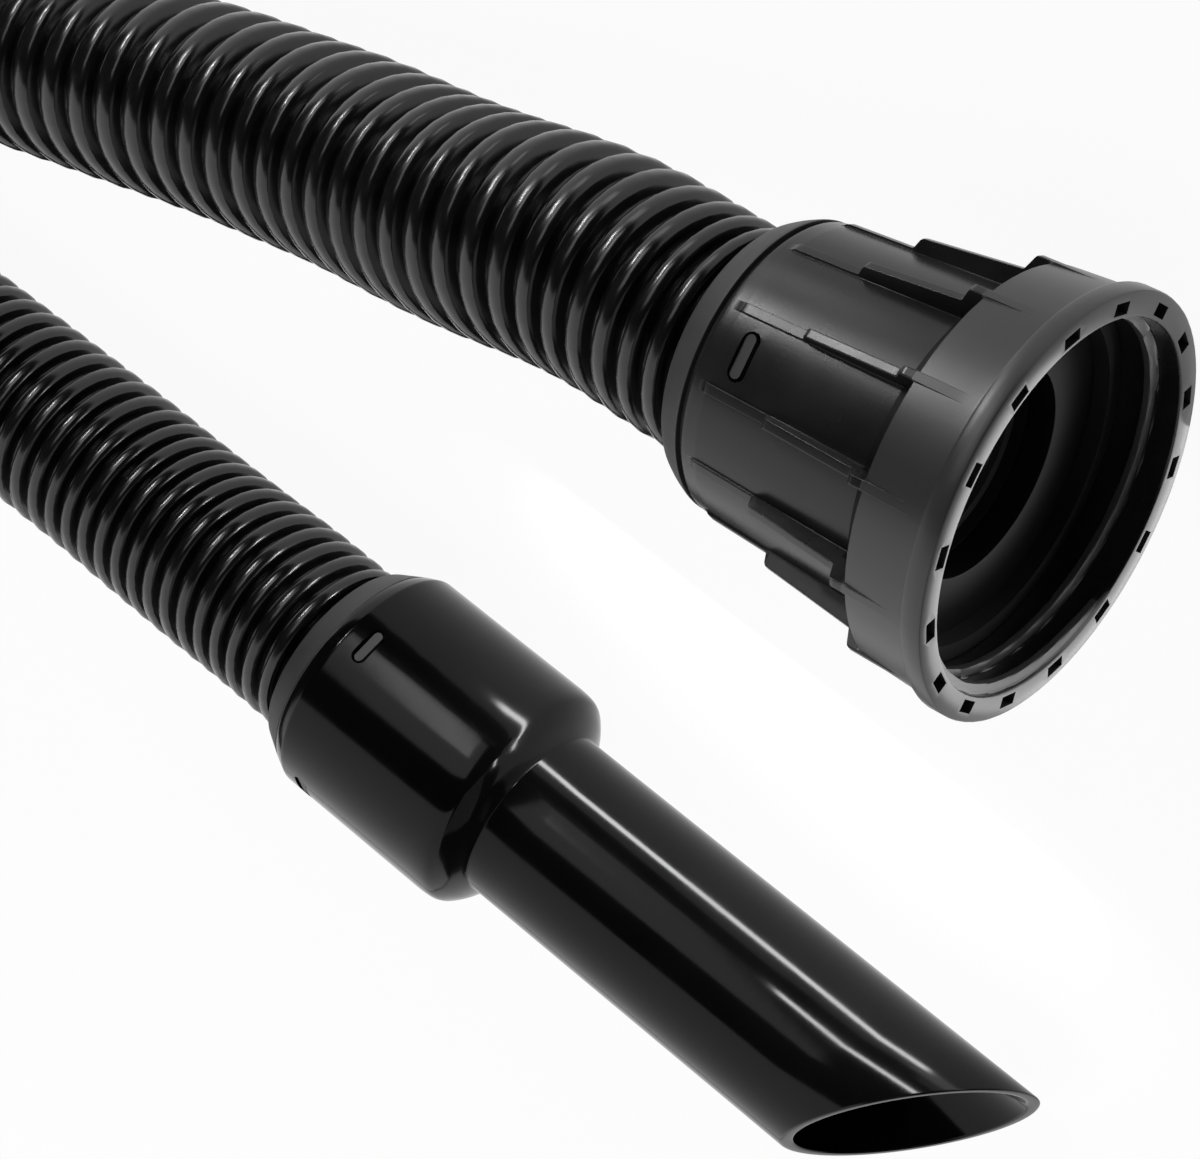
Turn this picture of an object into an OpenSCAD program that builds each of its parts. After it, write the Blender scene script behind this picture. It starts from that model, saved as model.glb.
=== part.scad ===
/* [Hose] */
// Outside diameter of the hose over its ribs
hose_od = 40; // [38:0.5:41]
// Depth of the grooves between the ribs
groove_depth = 3; // [2:0.25:4]
// Wall of the hose at the bottom of a groove
hose_wall = 1; // [0.8:0.1:2]
// Distance from rib to rib on the hose's two ends
rib_pitch = 5.2; // [5:0.1:8]
// Distance from rib to rib on the wound-up length, drawn coarser
stowed_pitch = 22; // [22:1:40]

/* [Swivels] */
// Wall of the sleeve that holds the hose's end
sleeve_wall = 2; // [1.5:0.1:2.5]
// Wall across the sleeve's front, where the hose's end stops
sleeve_tip_wall = 1.2; // [1:0.1:2]
// Length of the collar that keeps the sleeve in its housing
collar_len = 3.6; // [2.5:0.1:4.5]
// Height of that collar over the sleeve
collar_height = 1.5; // [1:0.1:1.6]
// Wall of the retaining ring's skirt
skirt_wall = 1.6; // [1.4:0.1:2]
// Length of the retaining ring's skirt inside its housing
skirt_len = 16.6; // [14:0.2:18]
// Wall of the housings around the skirt
housing_wall = 2; // [1.8:0.1:3]
// Thickness of the swivel seals
seal_thick = 2; // [1.5:0.1:2.5]
// Number of snap windows around each housing
window_count = 4; // [3:1:6]
// Length of a snap window around the housing
window_len = 8.4; // [7:0.2:10]
// Width of a snap window along the housing
window_width = 3.4; // [3:0.1:4]

/* [Connector] */
// Length of the connector from its rear edge to the flange's face
connector_len = 54.4; // [53.5:0.2:58]
// Depth of the hose's end in the connector
connector_hose_depth = 31.8; // [30:0.2:32]
// Draft of the connector's body, in degrees
body_draft = 3.7; // [2:0.1:4.5]
// Distance from the connector's rear edge to its snap windows
connector_window_at = 7.4; // [6:0.2:9]
// Length of the coupling ring with its flange
ring_len = 15.7; // [15:0.1:17]
// Diameter of the coupling ring at its rear edge
ring_od = 68; // [67.5:0.5:70]
// Diameter of the flange
flange_od = 72; // [72:0.5:76]
// Thickness of the flange
flange_thick = 3.8; // [3:0.1:5]
// Number of pockets in the flange's face
pocket_count = 16; // [12:1:20]
// Depth of those pockets
pocket_depth = 2.5; // [1:0.1:3]
// Length of a pocket around the flange
pocket_len = 3.8; // [2.5:0.1:4.2]
// Width of a pocket across the flange
pocket_width = 2.1; // [1.2:0.05:2.2]
// Number of grip ribs
grip_count = 12; // [8:1:14]
// Thickness of a grip rib
grip_thick = 1.6; // [1.2:0.1:2.4]
// Height of a grip rib's front end over the body
grip_height = 3.5; // [2.5:0.1:3.8]
// Height of a grip rib's low rear part over the body
grip_low_height = 0.5; // [0.4:0.1:1]

/* [Tank thread] */
// Diameter at the thread's root
thread_root_d = 63; // [62:0.2:63.2]
// Height of the thread's ridge
thread_height = 1.5; // [1:0.1:1.8]
// Pitch of the thread
thread_pitch = 5.2; // [4.6:0.1:5.4]
// Number of turns of the thread
thread_turns = 1.7; // [1:0.1:1.8]
// Thickness of the gasket
gasket_thick = 3; // [2:0.1:3]
// Width of the gasket's ring
gasket_width = 3; // [2:0.1:4]

/* [Cuff and nozzle] */
// Length of the cuff from its rear edge to its front
cuff_len = 48.4; // [47.6:0.2:54]
// Depth of the hose's end in the cuff
cuff_hose_depth = 40.8; // [38:0.2:41]
// Distance from the cuff's rear edge to its snap windows
cuff_window_at = 8; // [6:0.2:9]
// Length of the cuff's front shoulder
shoulder_len = 7.9; // [6:0.1:9]
// Outside diameter of the nozzle tube
nozzle_od = 38; // [35:0.5:38]
// Wall of the nozzle tube
nozzle_wall = 2; // [1.5:0.1:3]
// Length of the nozzle tube along its axis
nozzle_len = 99.1; // [80:0.1:140]
// Slant of the nozzle's mouth, in degrees
slant = 41; // [20:1:50]

/* [Storage tie] */
// Width of the strap
strap_width = 20; // [15:1:30]
// Thickness of the strap
strap_thick = 1.6; // [1:0.1:2]
// Length of the buckle along the strap
buckle_len = 29.4; // [24:0.2:36]
// Height of the buckle
buckle_height = 3.2; // [2:0.2:5]

/* [Hidden] */
$fn = 96;
slack = 1;

// Clearances
hose_fit = 0.2;
swivel_fit = 0.1;
skirt_fit = 0.1;
end_play = 0.3;
lip_clear = 0.6;
lug_end_clear = 0.5;
lug_side_clear = 0.75;
lug_back = 0.45;
gasket_fit = 0.2;
strap_fit = 0.3;

// Radii of the swivel, from the hose outwards
hose_r = hose_od / 2;
groove_r = hose_r - groove_depth;
bore_r = groove_r - hose_wall;
sleeve_bore_r = hose_r + hose_fit;
sleeve_r = sleeve_bore_r + sleeve_wall;
swivel_bore_r = sleeve_r + swivel_fit;
collar_r = sleeve_r + collar_height;
skirt_r = swivel_bore_r + skirt_wall;
housing_bore_r = skirt_r + skirt_fit;
housing_r = housing_bore_r + housing_wall;
lip_r = hose_r + lip_clear;

// Stations along a swivel, from the housing's rear edge inwards
collar_from = skirt_len + end_play;
step_at = collar_from + collar_len + end_play;
sleeve_from = -1.3;
bezel_step = -1.6;
seal_width = 4.5;
lug_recess = 0.4;

// Rear edges of the two housings: wall at the edge, and length of the slant behind the full radius
connector_edge = [1.6, 3.2];
cuff_edge = [0.75, 2.8];

// Bezels behind the two housings: radius over the housing's bore, and station. The first point is the
// bezel's front edge, where a groove parts it from the housing, and the last is its rear edge.
bezel_seat = 0.4;
connector_bezel = [[1.5, -1.1], [1.3, -1.8], [0.9, -2.7], [0.3, -4], [-0.4, -5.2], [-0.9, -6], [-1.6, -6.6]];
cuff_bezel = [[0.5, -0.4], [-2.2, -5.3], [-2.8, -5.9]];

// Connector
flange_r = flange_od / 2;
flange_at = connector_len - flange_thick;
ring_at = connector_len - ring_len;
ring_flare = 0.9;
ring_front_r = ring_od / 2 + ring_flare;
rim_round = 0.6;
body_front_r = housing_r + (ring_at - connector_edge[1]) * tan(body_draft);
connector_tip = connector_hose_depth + sleeve_tip_wall;
connector_seat = connector_tip + seal_thick + end_play;
thread_root_r = thread_root_d / 2;
floor_wall = 1.5;
mouth_floor = ring_at + floor_wall;
throat_step = 2;
throat_r = bore_r + throat_step;
connector_window_turn = 48;

// Grip ribs
grip_turn = 3;
grip_step_back = 23.2;
grip_front_back = 4.2;
tab_back = 3.8;
grip_ramp = 1;
tab_ramp = 1.4;
tab_over_ring = 0.35;
tab_on_ring = 8.3;
tab_root = 1.1;
grip_rear = 2.5;
grip_step = ring_at - grip_step_back;
grip_step_len = 1.2;
grip_step_height = 2.4;
grip_front = ring_at - grip_front_back;
grip_root = 1;
tab_at = ring_at - tab_back;
tab_end = ring_at + tab_on_ring;

// Pockets in the flange's face
pocket_turn = 3.5;
pocket_inset = 0.45;
pocket_r = (thread_root_r + flange_r) / 2 - pocket_inset;

// Thread
thread_clear = 1.2;
thread_from = mouth_floor + gasket_thick + thread_clear;
thread_start = -40;
thread_steps = 30;
ridge_root_half = 1.1;
ridge_crest_half = 0.6;
ridge_sunk = 0.6;
ridge_fade = 20;

// Cuff and nozzle
cuff_tip = cuff_hose_depth + sleeve_tip_wall;
cuff_seat = cuff_tip + seal_thick + end_play;
nozzle_r = nozzle_od / 2;
nozzle_bore_r = nozzle_r - nozzle_wall;
nozzle_end = cuff_len + nozzle_len;
cut_turn = 292;
cuff_window_turn = 21.4;

// Where the two ends lie: the flange's face is at the origin and its rim on the floor
floor_z = -flange_r;
cuff_place = [-140.5, 170.8, floor_z + housing_r];
cuff_heading = 12.25;
cuff_axis = [sin(cuff_heading), cos(cuff_heading), 0];

// Route of the hose out of the connector
machine_route = [
    [0, connector_len - connector_hose_depth, 0], [0, 36, 0], [0, 49, 0], [0, 62, 0], [0.5, 76, -1],
    [0.5, 90, -3], [-1, 105, -4], [-4.5, 120, -5.5], [-8, 135, -8], [-11, 150, -11], [-13.5, 165, -13.5],
    [-16.5, 180, -15], [-19, 200, -16], [-22, 220, -16], [-25, 240, -16]
];
// Route of the hose out of the cuff, whose first points lie on the cuff's axis
wand_route = [
    cuff_place - cuff_hose_depth * cuff_axis, cuff_place - 27 * cuff_axis, cuff_place - 14 * cuff_axis,
    cuff_place, [-138, 184, -10.5], [-136.5, 197, -11.5], [-136, 210, -12.5], [-135.5, 223, -14],
    [-134.5, 236, -15], [-132.5, 250, -16], [-129, 270, -16], [-125.5, 290, -16]
];

// Wound-up length: a lead-in, one and a half turns and a lead-out
turn_out_r = 221;
turn_in_r = 179;
lead_r = 160;
lead_straight = hose_od;
wound_angle = 540;
draw_in = [180, 330];
climb = [160, 235];
descent = [305, 380];
layer_gap = 1.5;
hump = hose_od + layer_gap;
rest_z = -16;
tie_angle = 90;
buckle_rail = 3;
strap_gap = 1;
tie_lift = strap_thick + strap_fit;
tie_lift_span = 35;
path_step = 8;
sides = 8;

function unit(v) = v / norm(v);
function clamp01(x) = min(max(x, 0), 1);
function part_of(x, span) = clamp01((x - span[0]) / (span[1] - span[0]));
function ease(t) = (1 - cos(180 * t)) / 2;
function smooth(t) = t * t * (3 - 2 * t);
function last(list) = list[len(list) - 1];

// Uniform cubic B-spline through route points, straight on at both ends
spline_steps = 6;
function spline_point(a, b, c, d, t) =
    (pow(1 - t, 3) * a + (3 * pow(t, 3) - 6 * t * t + 4) * b
    + (-3 * pow(t, 3) + 3 * t * t + 3 * t + 1) * c + pow(t, 3) * d) / 6;
function spline(route) =
    let (n = len(route), p = concat([2 * route[0] - route[1]], route, [2 * route[n - 1] - route[n - 2]]))
    concat(
        [for (i = [0:n - 2], k = [0:spline_steps - 1])
            spline_point(p[i], p[i + 1], p[i + 2], p[i + 3], k / spline_steps)],
        [route[n - 1]]
    );

// Wound-up length. A heading is an angle from +Y towards +X. Both leads turn away by lead_r and back
// by lead_r, and the two turn angles are the ones that bring both leads to the same turn.
function heading_of(v) = atan2(v[0], v[1]);
function ahead(h) = [sin(h), cos(h)];
function flat(v) = [v[0], v[1]];
route_n = len(machine_route);
route_m = len(wand_route);
lead_a = flat(machine_route[route_n - 1]);
lead_b = flat(wand_route[route_m - 1]);
heading_a = heading_of(machine_route[route_n - 1] - machine_route[route_n - 2]);
heading_b = heading_of(wand_route[route_m - 1] - wand_route[route_m - 2]);
bend_a = lead_a + lead_straight * ahead(heading_a);
bend_b = lead_b + lead_straight * ahead(heading_b);
across = turn_out_r + turn_in_r - bend_a[0] + bend_b[0];
cos_sum = (cos(heading_a) + cos(heading_b) + 2 - across / lead_r) / 2;
sin_gap = ((bend_b[1] - bend_a[1]) / lead_r + sin(heading_a) + sin(heading_b)) / 2;
turn_mean = acos(norm([cos_sum, sin_gap]) / 2);
turn_half_gap = atan2(sin_gap, cos_sum);
turn_a = turn_mean + turn_half_gap;
turn_b = turn_mean - turn_half_gap;
coil_center = [
    bend_a[0] + lead_r * (cos(heading_a) + 1 - 2 * cos(turn_a)) - turn_out_r,
    bend_a[1] + lead_r * (2 * sin(turn_a) - sin(heading_a))
];

// One lead: straight, an arc towards side (1 is +X, -1 is -X), and an arc back to heading +Y
function lead(start, heading, side, turn) =
    let (
        h = side * heading,
        p = start + lead_straight * ahead(heading),
        q = p + lead_r * [side * (cos(h) - cos(turn)), sin(turn) - sin(h)],
        n = ceil((turn - h) * PI / 180 * lead_r / path_step),
        m = ceil(turn * PI / 180 * lead_r / path_step)
    )
    concat(
        [for (k = [0:4]) start + lead_straight * k / 5 * ahead(heading)],
        [for (k = [0:n - 1]) let (a = h + (turn - h) * k / n)
            p + lead_r * [side * (cos(h) - cos(a)), sin(a) - sin(h)]],
        [for (k = [0:m - 1]) let (a = turn * (1 - k / m))
            q + lead_r * [side * (cos(a) - cos(turn)), sin(turn) - sin(a)]]
    );
function turn_radius(a) = turn_out_r - (turn_out_r - turn_in_r) * smooth(part_of(a, draw_in));
function tie_rise(a) = tie_lift * (1 - ease(clamp01(abs(a) / tie_lift_span)));
function turn_height(a) =
    rest_z + hump * (ease(part_of(a, climb)) - ease(part_of(a, descent)))
    + tie_rise(a - tie_angle) + tie_rise(a - tie_angle - 360);
turn_n = ceil(wound_angle * PI / 180 * (turn_out_r + turn_in_r) / 2 / path_step);
function turn_point(a) = [
    coil_center[0] + turn_radius(a) * cos(a), coil_center[1] + turn_radius(a) * sin(a), turn_height(a)
];
function at_rest(points) = [for (p = points) [p[0], p[1], rest_z]];
function reversed(list) = [for (i = [len(list) - 1:-1:0]) list[i]];
function coil_path() = concat(
    at_rest(lead(lead_a, heading_a, 1, turn_a)),
    [for (i = [0:turn_n]) turn_point(wound_angle * i / turn_n)],
    at_rest(reversed(lead(lead_b, heading_b, -1, turn_b)))
);

// Length along a path at each of its points, and the place and direction at a length
function lengths(p) = [
    for (i = 0, s = 0; i < len(p); i = i + 1, s = s + (i < len(p) ? norm(p[i] - p[i - 1]) : 0)) s
];
function table(p, s, axis) = [for (i = [0:len(p) - 1]) [s[i], p[i][axis]]];
function place(tables, s) = [for (axis = [0:2]) lookup(s, tables[axis])];
direction_step = 2;
function direction(tables, s, full) =
    unit(place(tables, min(s + direction_step, full)) - place(tables, max(s - direction_step, 0)));
function ring(center, along, r) =
    let (aside = unit(cross(along, [0, 0, 1])), up = cross(aside, along))
    [for (k = [0:sides - 1]) center + r * (cos(360 * k / sides) * aside + sin(360 * k / sides) * up)];

// Least gap of a tube to itself, over points of its centre line that are not neighbours
neighbour_len = 3 * hose_od;
function least_gap(p, s) = min([
    for (i = [0:len(p) - 1], j = [i + 1:1:len(p) - 1]) if (s[j] - s[i] > neighbour_len) norm(p[i] - p[j])
]) - hose_od;

// Triangles between two rings of points, numbered from a and from b
function band(a, b) = [
    for (k = [0:sides - 1]) let (n = (k + 1) % sides) each [[a + k, b + k, b + n], [a + k, b + n, a + n]]
];

// A ribbed tube along a path: two rings of points for each rib outside, and a smooth bore inside
module ribbed_tube(path, pitch, ribs_per_bore_ring) {
    s = lengths(path);
    full = last(s);
    tables = [for (axis = [0:2]) table(path, s, axis)];
    ribs = max(round(full / pitch), 1);
    bores = max(round(ribs / ribs_per_bore_ring), 1);
    outside = [for (i = [0:2 * ribs]) let (at = full * i / (2 * ribs))
        ring(place(tables, at), direction(tables, at, full), i % 2 == 0 ? groove_r : hose_r)];
    inside = [for (i = [0:bores]) let (at = full * i / bores)
        ring(place(tables, at), direction(tables, at, full), bore_r)];
    first_in = len(outside) * sides;
    last_out = first_in - sides;
    last_in = first_in + bores * sides;
    polyhedron(
        points = [each for (r = outside) r, each for (r = inside) r],
        faces = concat(
            [for (i = [0:2 * ribs - 1]) each band(i * sides, (i + 1) * sides)],
            [for (i = [0:bores - 1]) each band(first_in + (i + 1) * sides, first_in + i * sides)],
            band(first_in, 0),
            band(last_out, last_in)
        ),
        convexity = 10
    );
}

// Places a piece that is drawn along +Z, from its rear edge to its front, at the connector or the cuff
module at_connector() {
    translate([0, connector_len, 0]) rotate([90, 0, 0]) children();
}
module at_cuff() {
    translate(cuff_place) rotate([0, 0, -cuff_heading]) rotate([90, 0, 0]) children();
}

// Repeats a piece around the axis
module around(count, turn) {
    for (i = [0:count - 1]) rotate([0, 0, turn + 360 * i / count]) children();
}

// An oblong bar that points outwards, for a snap window or the lug in it
module oblong(len, width, from_r, to_r) {
    half = (len - width) / 2;
    translate([from_r, 0, 0]) rotate([0, 90, 0]) {
        translate([0, -half, 0]) cylinder(h = to_r - from_r, d = width, $fn = 24);
        translate([0, half, 0]) cylinder(h = to_r - from_r, d = width, $fn = 24);
        translate([-width / 2, -half, 0]) cube([width, 2 * half, to_r - from_r]);
    }
}
module snap_windows(station, turn) {
    around(window_count, turn) translate([0, 0, station])
        oblong(window_len, window_width, skirt_r - slack, housing_r + 2 * slack);
}
module snap_lugs(station, turn) {
    around(window_count, turn) translate([0, 0, station])
        oblong(
            window_len - 2 * lug_end_clear, window_width - 2 * lug_side_clear,
            skirt_r - skirt_wall / 2, housing_r - lug_recess
        );
}

// Retaining ring: a seat on the housing, a groove, a bezel down to a lip around the hose, and a skirt
module retaining_ring(bezel, lug_at, window_turn) {
    rotate_extrude() polygon(concat(
        [[housing_bore_r, 0], [housing_bore_r + bezel_seat, 0], [housing_bore_r + bezel_seat, bezel[0][1]]],
        [for (b = bezel) [housing_bore_r + b[0], b[1]]],
        [[lip_r, last(bezel)[1]], [lip_r, bezel_step - swivel_bore_r + lip_r],
        [swivel_bore_r, bezel_step], [swivel_bore_r, skirt_len], [skirt_r, skirt_len], [skirt_r, 0]]
    ));
    snap_lugs(lug_at, window_turn);
}

// Sleeve that holds the hose's end: a tube with a collar, and a wall with the hose's bore in it at its tip
module hose_sleeve(hose_depth) {
    tip = hose_depth + sleeve_tip_wall;
    rotate_extrude() polygon([
        [sleeve_bore_r, sleeve_from], [sleeve_r, sleeve_from], [sleeve_r, collar_from],
        [collar_r, collar_from], [collar_r, collar_from + collar_len],
        [sleeve_r, collar_from + collar_len], [sleeve_r, tip], [bore_r, tip], [bore_r, hose_depth],
        [sleeve_bore_r, hose_depth]
    ]);
}

module swivel_seal(tip) {
    translate([0, 0, tip]) difference() {
        cylinder(h = seal_thick, r = sleeve_r);
        translate([0, 0, -slack]) cylinder(h = seal_thick + 2 * slack, r = sleeve_r - seal_width);
    }
}

// Radius of the body, and of the coupling ring, whose flare ends at the flange
function body_r(station) = housing_r + (station - connector_edge[1]) * tan(body_draft);
function ring_r(station) = ring_od / 2 + ring_flare * (station - ring_at) / (flange_at - ring_at);

// Grip rib: low behind, a slanted step, a rising back, and a tab that runs out on the coupling ring
module grip_rib() {
    rotate([90, 0, 0]) translate([0, 0, -grip_thick / 2]) linear_extrude(height = grip_thick) polygon([
        [body_r(grip_rear) - grip_root, grip_rear],
        [body_r(grip_rear) + grip_low_height, grip_rear + grip_ramp],
        [body_r(grip_step) + grip_low_height, grip_step],
        [body_r(grip_step) + grip_step_height, grip_step + grip_step_len],
        [body_r(grip_front) + grip_height, grip_front],
        [body_r(grip_front) + grip_height, tab_at],
        [ring_r(ring_at) + tab_over_ring, tab_at + tab_ramp],
        [ring_r(tab_end), tab_end],
        [ring_r(tab_end) - tab_root, tab_end],
        [ring_r(tab_end) - tab_root, ring_at + slack],
        [body_r(ring_at) - grip_root, ring_at + slack]
    ]);
}

// Thread: one ridge swept along a helix, which fades into the wall at both ends
module thread_ridge() {
    n = ceil(thread_turns * thread_steps);
    span = 360 * thread_turns;
    function ridge_top(a) = let (fade = clamp01(min(a, span - a) / ridge_fade))
        thread_root_r + ridge_sunk / 2 - (thread_height + ridge_sunk / 2) * fade;
    function section(i) =
        let (
            a = span * i / n,
            z = thread_from + thread_pitch * a / 360,
            root = thread_root_r + ridge_sunk,
            top = ridge_top(a),
            corners = [
                [root, -ridge_root_half], [root, ridge_root_half],
                [top, ridge_crest_half], [top, -ridge_crest_half]
            ]
        )
        [for (c = corners) [c[0] * cos(thread_start + a), c[0] * sin(thread_start + a), z + c[1]]];
    polyhedron(
        points = [for (i = [0:n]) each section(i)],
        faces = concat(
            [[2, 1, 0], [3, 2, 0], [4 * n, 4 * n + 1, 4 * n + 2], [4 * n, 4 * n + 2, 4 * n + 3]],
            [for (i = [0:n - 1], k = [0:3]) let (a = 4 * i + k, b = 4 * i + (k + 1) % 4)
                each [[b + 4, a + 4, a], [b, b + 4, a]]]
        )
    );
}

module connector_body() {
    color("#1b1b1c") at_connector() {
        difference() {
            union() {
                rotate_extrude() polygon([
                    [housing_bore_r, 0], [housing_bore_r + connector_edge[0], 0],
                    [housing_r, connector_edge[1]], [body_front_r, ring_at],
                    [ring_od / 2, ring_at], [ring_front_r, flange_at], [flange_r - rim_round, flange_at],
                    [flange_r, flange_at + rim_round], [flange_r, connector_len - rim_round],
                    [flange_r - rim_round, connector_len], [thread_root_r, connector_len],
                    [thread_root_r, mouth_floor],
                    [throat_r, mouth_floor], [throat_r, connector_seat], [swivel_bore_r, connector_seat],
                    [swivel_bore_r, step_at], [housing_bore_r, step_at]
                ]);
                around(grip_count, grip_turn) grip_rib();
            }
            snap_windows(connector_window_at, connector_window_turn);
            around(pocket_count, pocket_turn) translate([pocket_r, 0, connector_len])
                cube([pocket_width, pocket_len, 2 * pocket_depth], center = true);
        }
        thread_ridge();
    }
}

module connector_retaining_ring() {
    color("#202021") at_connector()
        retaining_ring(connector_bezel, connector_window_at - lug_back, connector_window_turn);
}

module connector_hose_sleeve() {
    color("#2a2a2c") at_connector() hose_sleeve(connector_hose_depth);
}

module connector_swivel_seal() {
    color("#3a3a3d") at_connector() swivel_seal(connector_tip);
}

module connector_gasket() {
    color("#3a3a3d") at_connector() translate([0, 0, mouth_floor]) difference() {
        cylinder(h = gasket_thick, r = thread_root_r - gasket_fit);
        translate([0, 0, -slack])
            cylinder(h = gasket_thick + 2 * slack, r = thread_root_r - gasket_fit - gasket_width);
    }
}

// Shoulder of the cuff, from the housing down to the nozzle: share of its height, and share of its length
shoulder_curve = [
    [0, 0], [0.03, 0.29], [0.1, 0.44], [0.23, 0.56], [0.44, 0.72], [0.73, 0.87], [1, 1]
];
module cuff_body() {
    color("#121213") at_cuff() difference() {
        rotate_extrude() polygon(concat(
            [[housing_bore_r, 0], [housing_bore_r + cuff_edge[0], 0], [housing_r, cuff_edge[1]]],
            [for (c = shoulder_curve)
                [housing_r - c[0] * (housing_r - nozzle_r), cuff_len - (1 - c[1]) * shoulder_len]],
            [[nozzle_bore_r, cuff_len], [nozzle_bore_r, cuff_seat], [swivel_bore_r, cuff_seat],
            [swivel_bore_r, step_at], [housing_bore_r, step_at]]
        ));
        snap_windows(cuff_window_at, cuff_window_turn);
    }
    color("#121213") at_cuff() difference() {
        rotate_extrude() polygon([
            [nozzle_bore_r, cuff_seat], [nozzle_r, cuff_seat], [nozzle_r, nozzle_end + nozzle_od],
            [nozzle_bore_r, nozzle_end + nozzle_od]
        ]);
        translate([0, 0, nozzle_end]) rotate([0, 0, cut_turn]) rotate([0, -slant, 0])
            translate([0, 0, 2 * nozzle_od]) cube(4 * nozzle_od, center = true);
    }
}

module cuff_retaining_ring() {
    color("#202021") at_cuff()
        retaining_ring(cuff_bezel, cuff_window_at, cuff_window_turn);
}

module cuff_hose_sleeve() {
    color("#2a2a2c") at_cuff() hose_sleeve(cuff_hose_depth);
}

module cuff_swivel_seal() {
    color("#3a3a3d") at_cuff() swivel_seal(cuff_tip);
}

module hose_machine_run() {
    color("#161617") ribbed_tube(spline(machine_route), rib_pitch, 4);
}

module hose_wand_run() {
    color("#161617") ribbed_tube(reversed(spline(wand_route)), rib_pitch, 4);
}

module hose_coil() {
    path = coil_path();
    s = lengths(path);
    echo(coil_length = last(s), least_gap = least_gap(path, s));
    color("#161617") ribbed_tube(path, stowed_pitch, 1);
}

// Outline of the strap's loop around two strands of hose that lie side by side
module loop_outline(r) {
    translate([turn_in_r, 0]) circle(r);
    translate([turn_out_r, 0]) circle(r);
    translate([turn_in_r, -r]) square([turn_out_r - turn_in_r, 2 * r]);
}

strap_in_r = hose_r + strap_fit;
module storage_tie() {
    color("#2c2c2e") translate([coil_center[0], coil_center[1], rest_z + tie_lift])
        rotate([0, 0, tie_angle]) rotate([90, 0, 0]) translate([0, 0, -strap_width / 2])
            linear_extrude(height = strap_width) difference() {
                loop_outline(strap_in_r + strap_thick);
                loop_outline(strap_in_r);
            }
}

// Buckle: a frame with a middle bar, flat on top of the strap between the two strands
module tie_buckle() {
    outside = [buckle_len, strap_width + strap_gap + 2 * buckle_rail];
    opening = [(buckle_len - 3 * buckle_rail) / 2, strap_width + strap_gap];
    color("#1a1a1b")
        translate([coil_center[0], coil_center[1], rest_z + tie_lift + strap_in_r + strap_thick])
            rotate([0, 0, tie_angle]) translate([(turn_in_r + turn_out_r) / 2, 0, 0]) difference() {
                translate([0, 0, buckle_height / 2])
                    cube([outside[0], outside[1], buckle_height], center = true);
                for (way = [-1, 1]) translate([way * (buckle_rail + opening[0]) / 2, 0, buckle_height / 2])
                    cube([opening[0], opening[1], buckle_height + 2 * slack], center = true);
            }
}

connector_body();
connector_retaining_ring();
connector_hose_sleeve();
connector_swivel_seal();
connector_gasket();
cuff_body();
cuff_retaining_ring();
cuff_hose_sleeve();
cuff_swivel_seal();
hose_machine_run();
hose_coil();
hose_wand_run();
storage_tie();
tie_buckle();
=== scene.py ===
# %% [markdown]
# # A vacuum hose with a threaded connector and a slant-cut cuff
# The real thing is a length of corrugated plastic hose with a swivel at either end. One swivel carries the
# connector that screws onto the tank, the other the cuff with its slant-cut nozzle tube. The measured model
# already says where everything sits and what turns on what, so it is loaded first and kept as it is. Every
# shape below is made in the same millimetres and only put over it.

# %% The measured model
import bpy
import numpy as np
from mathutils import Matrix


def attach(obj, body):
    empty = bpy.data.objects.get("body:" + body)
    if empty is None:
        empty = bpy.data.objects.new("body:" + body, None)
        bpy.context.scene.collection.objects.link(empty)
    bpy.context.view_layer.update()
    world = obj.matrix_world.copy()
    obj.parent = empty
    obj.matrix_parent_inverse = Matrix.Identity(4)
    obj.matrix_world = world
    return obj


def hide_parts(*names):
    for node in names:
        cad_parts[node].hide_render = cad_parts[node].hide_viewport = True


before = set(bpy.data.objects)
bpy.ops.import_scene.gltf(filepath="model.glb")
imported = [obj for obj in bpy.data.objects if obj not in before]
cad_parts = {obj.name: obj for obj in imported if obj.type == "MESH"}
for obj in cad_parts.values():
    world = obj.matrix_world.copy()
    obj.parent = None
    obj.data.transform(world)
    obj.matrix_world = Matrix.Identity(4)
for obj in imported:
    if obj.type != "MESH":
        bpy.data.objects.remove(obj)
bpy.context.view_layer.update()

# %% [markdown]
# ## Camera
# A product camera stands off and uses a long lens, so that round parts don't swell towards the viewer. It
# could be aimed with a target object, but then its roll has to be found by hand. Writing its three axes as
# the columns of a matrix fixes place, aim and roll at once: right, up, and backwards out of the lens.

# %% Camera
SENSOR_WIDTH, LENS = 36, 99
camera_at = np.array((0.31782, -0.20633, 0.33430))
camera_right = np.array((-0.015366, -0.751623, -0.659413))
camera_down = np.array((-0.760605, -0.419296, 0.495653))
camera_look = np.cross(camera_right, camera_down)
camera_data = bpy.data.cameras.new("product_camera")
camera_data.sensor_fit, camera_data.sensor_width, camera_data.lens = "HORIZONTAL", SENSOR_WIDTH, LENS
camera = bpy.data.objects.new("product_camera", camera_data)
camera.matrix_world = Matrix([
    (right, -down, -look, at)
    for right, down, look, at in zip(camera_right, camera_down, camera_look, camera_at)
] + [(0, 0, 0, 1)])
bpy.context.collection.objects.link(camera)
bpy.context.scene.camera = camera
print("camera looks along", camera_look.round(3), "through a lens of", LENS, "mm")

# %% [markdown]
# ## One way to make every piece
# A turned or extruded part is a sheet of points bent round until both of its edges meet: one direction
# follows the outline, the other goes round the axis. Such a sheet can't have a hole, so it is always a
# closed solid. Two helpers do it for every piece: one numbers the faces of the closed sheet, one hands the
# arrays to Blender and turns the faces outwards if the volume they hold comes out negative.

# %% Faces of a closed sheet, and a mesh from arrays
MM = 0.001
ALL_SMOOTH = 180


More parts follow.
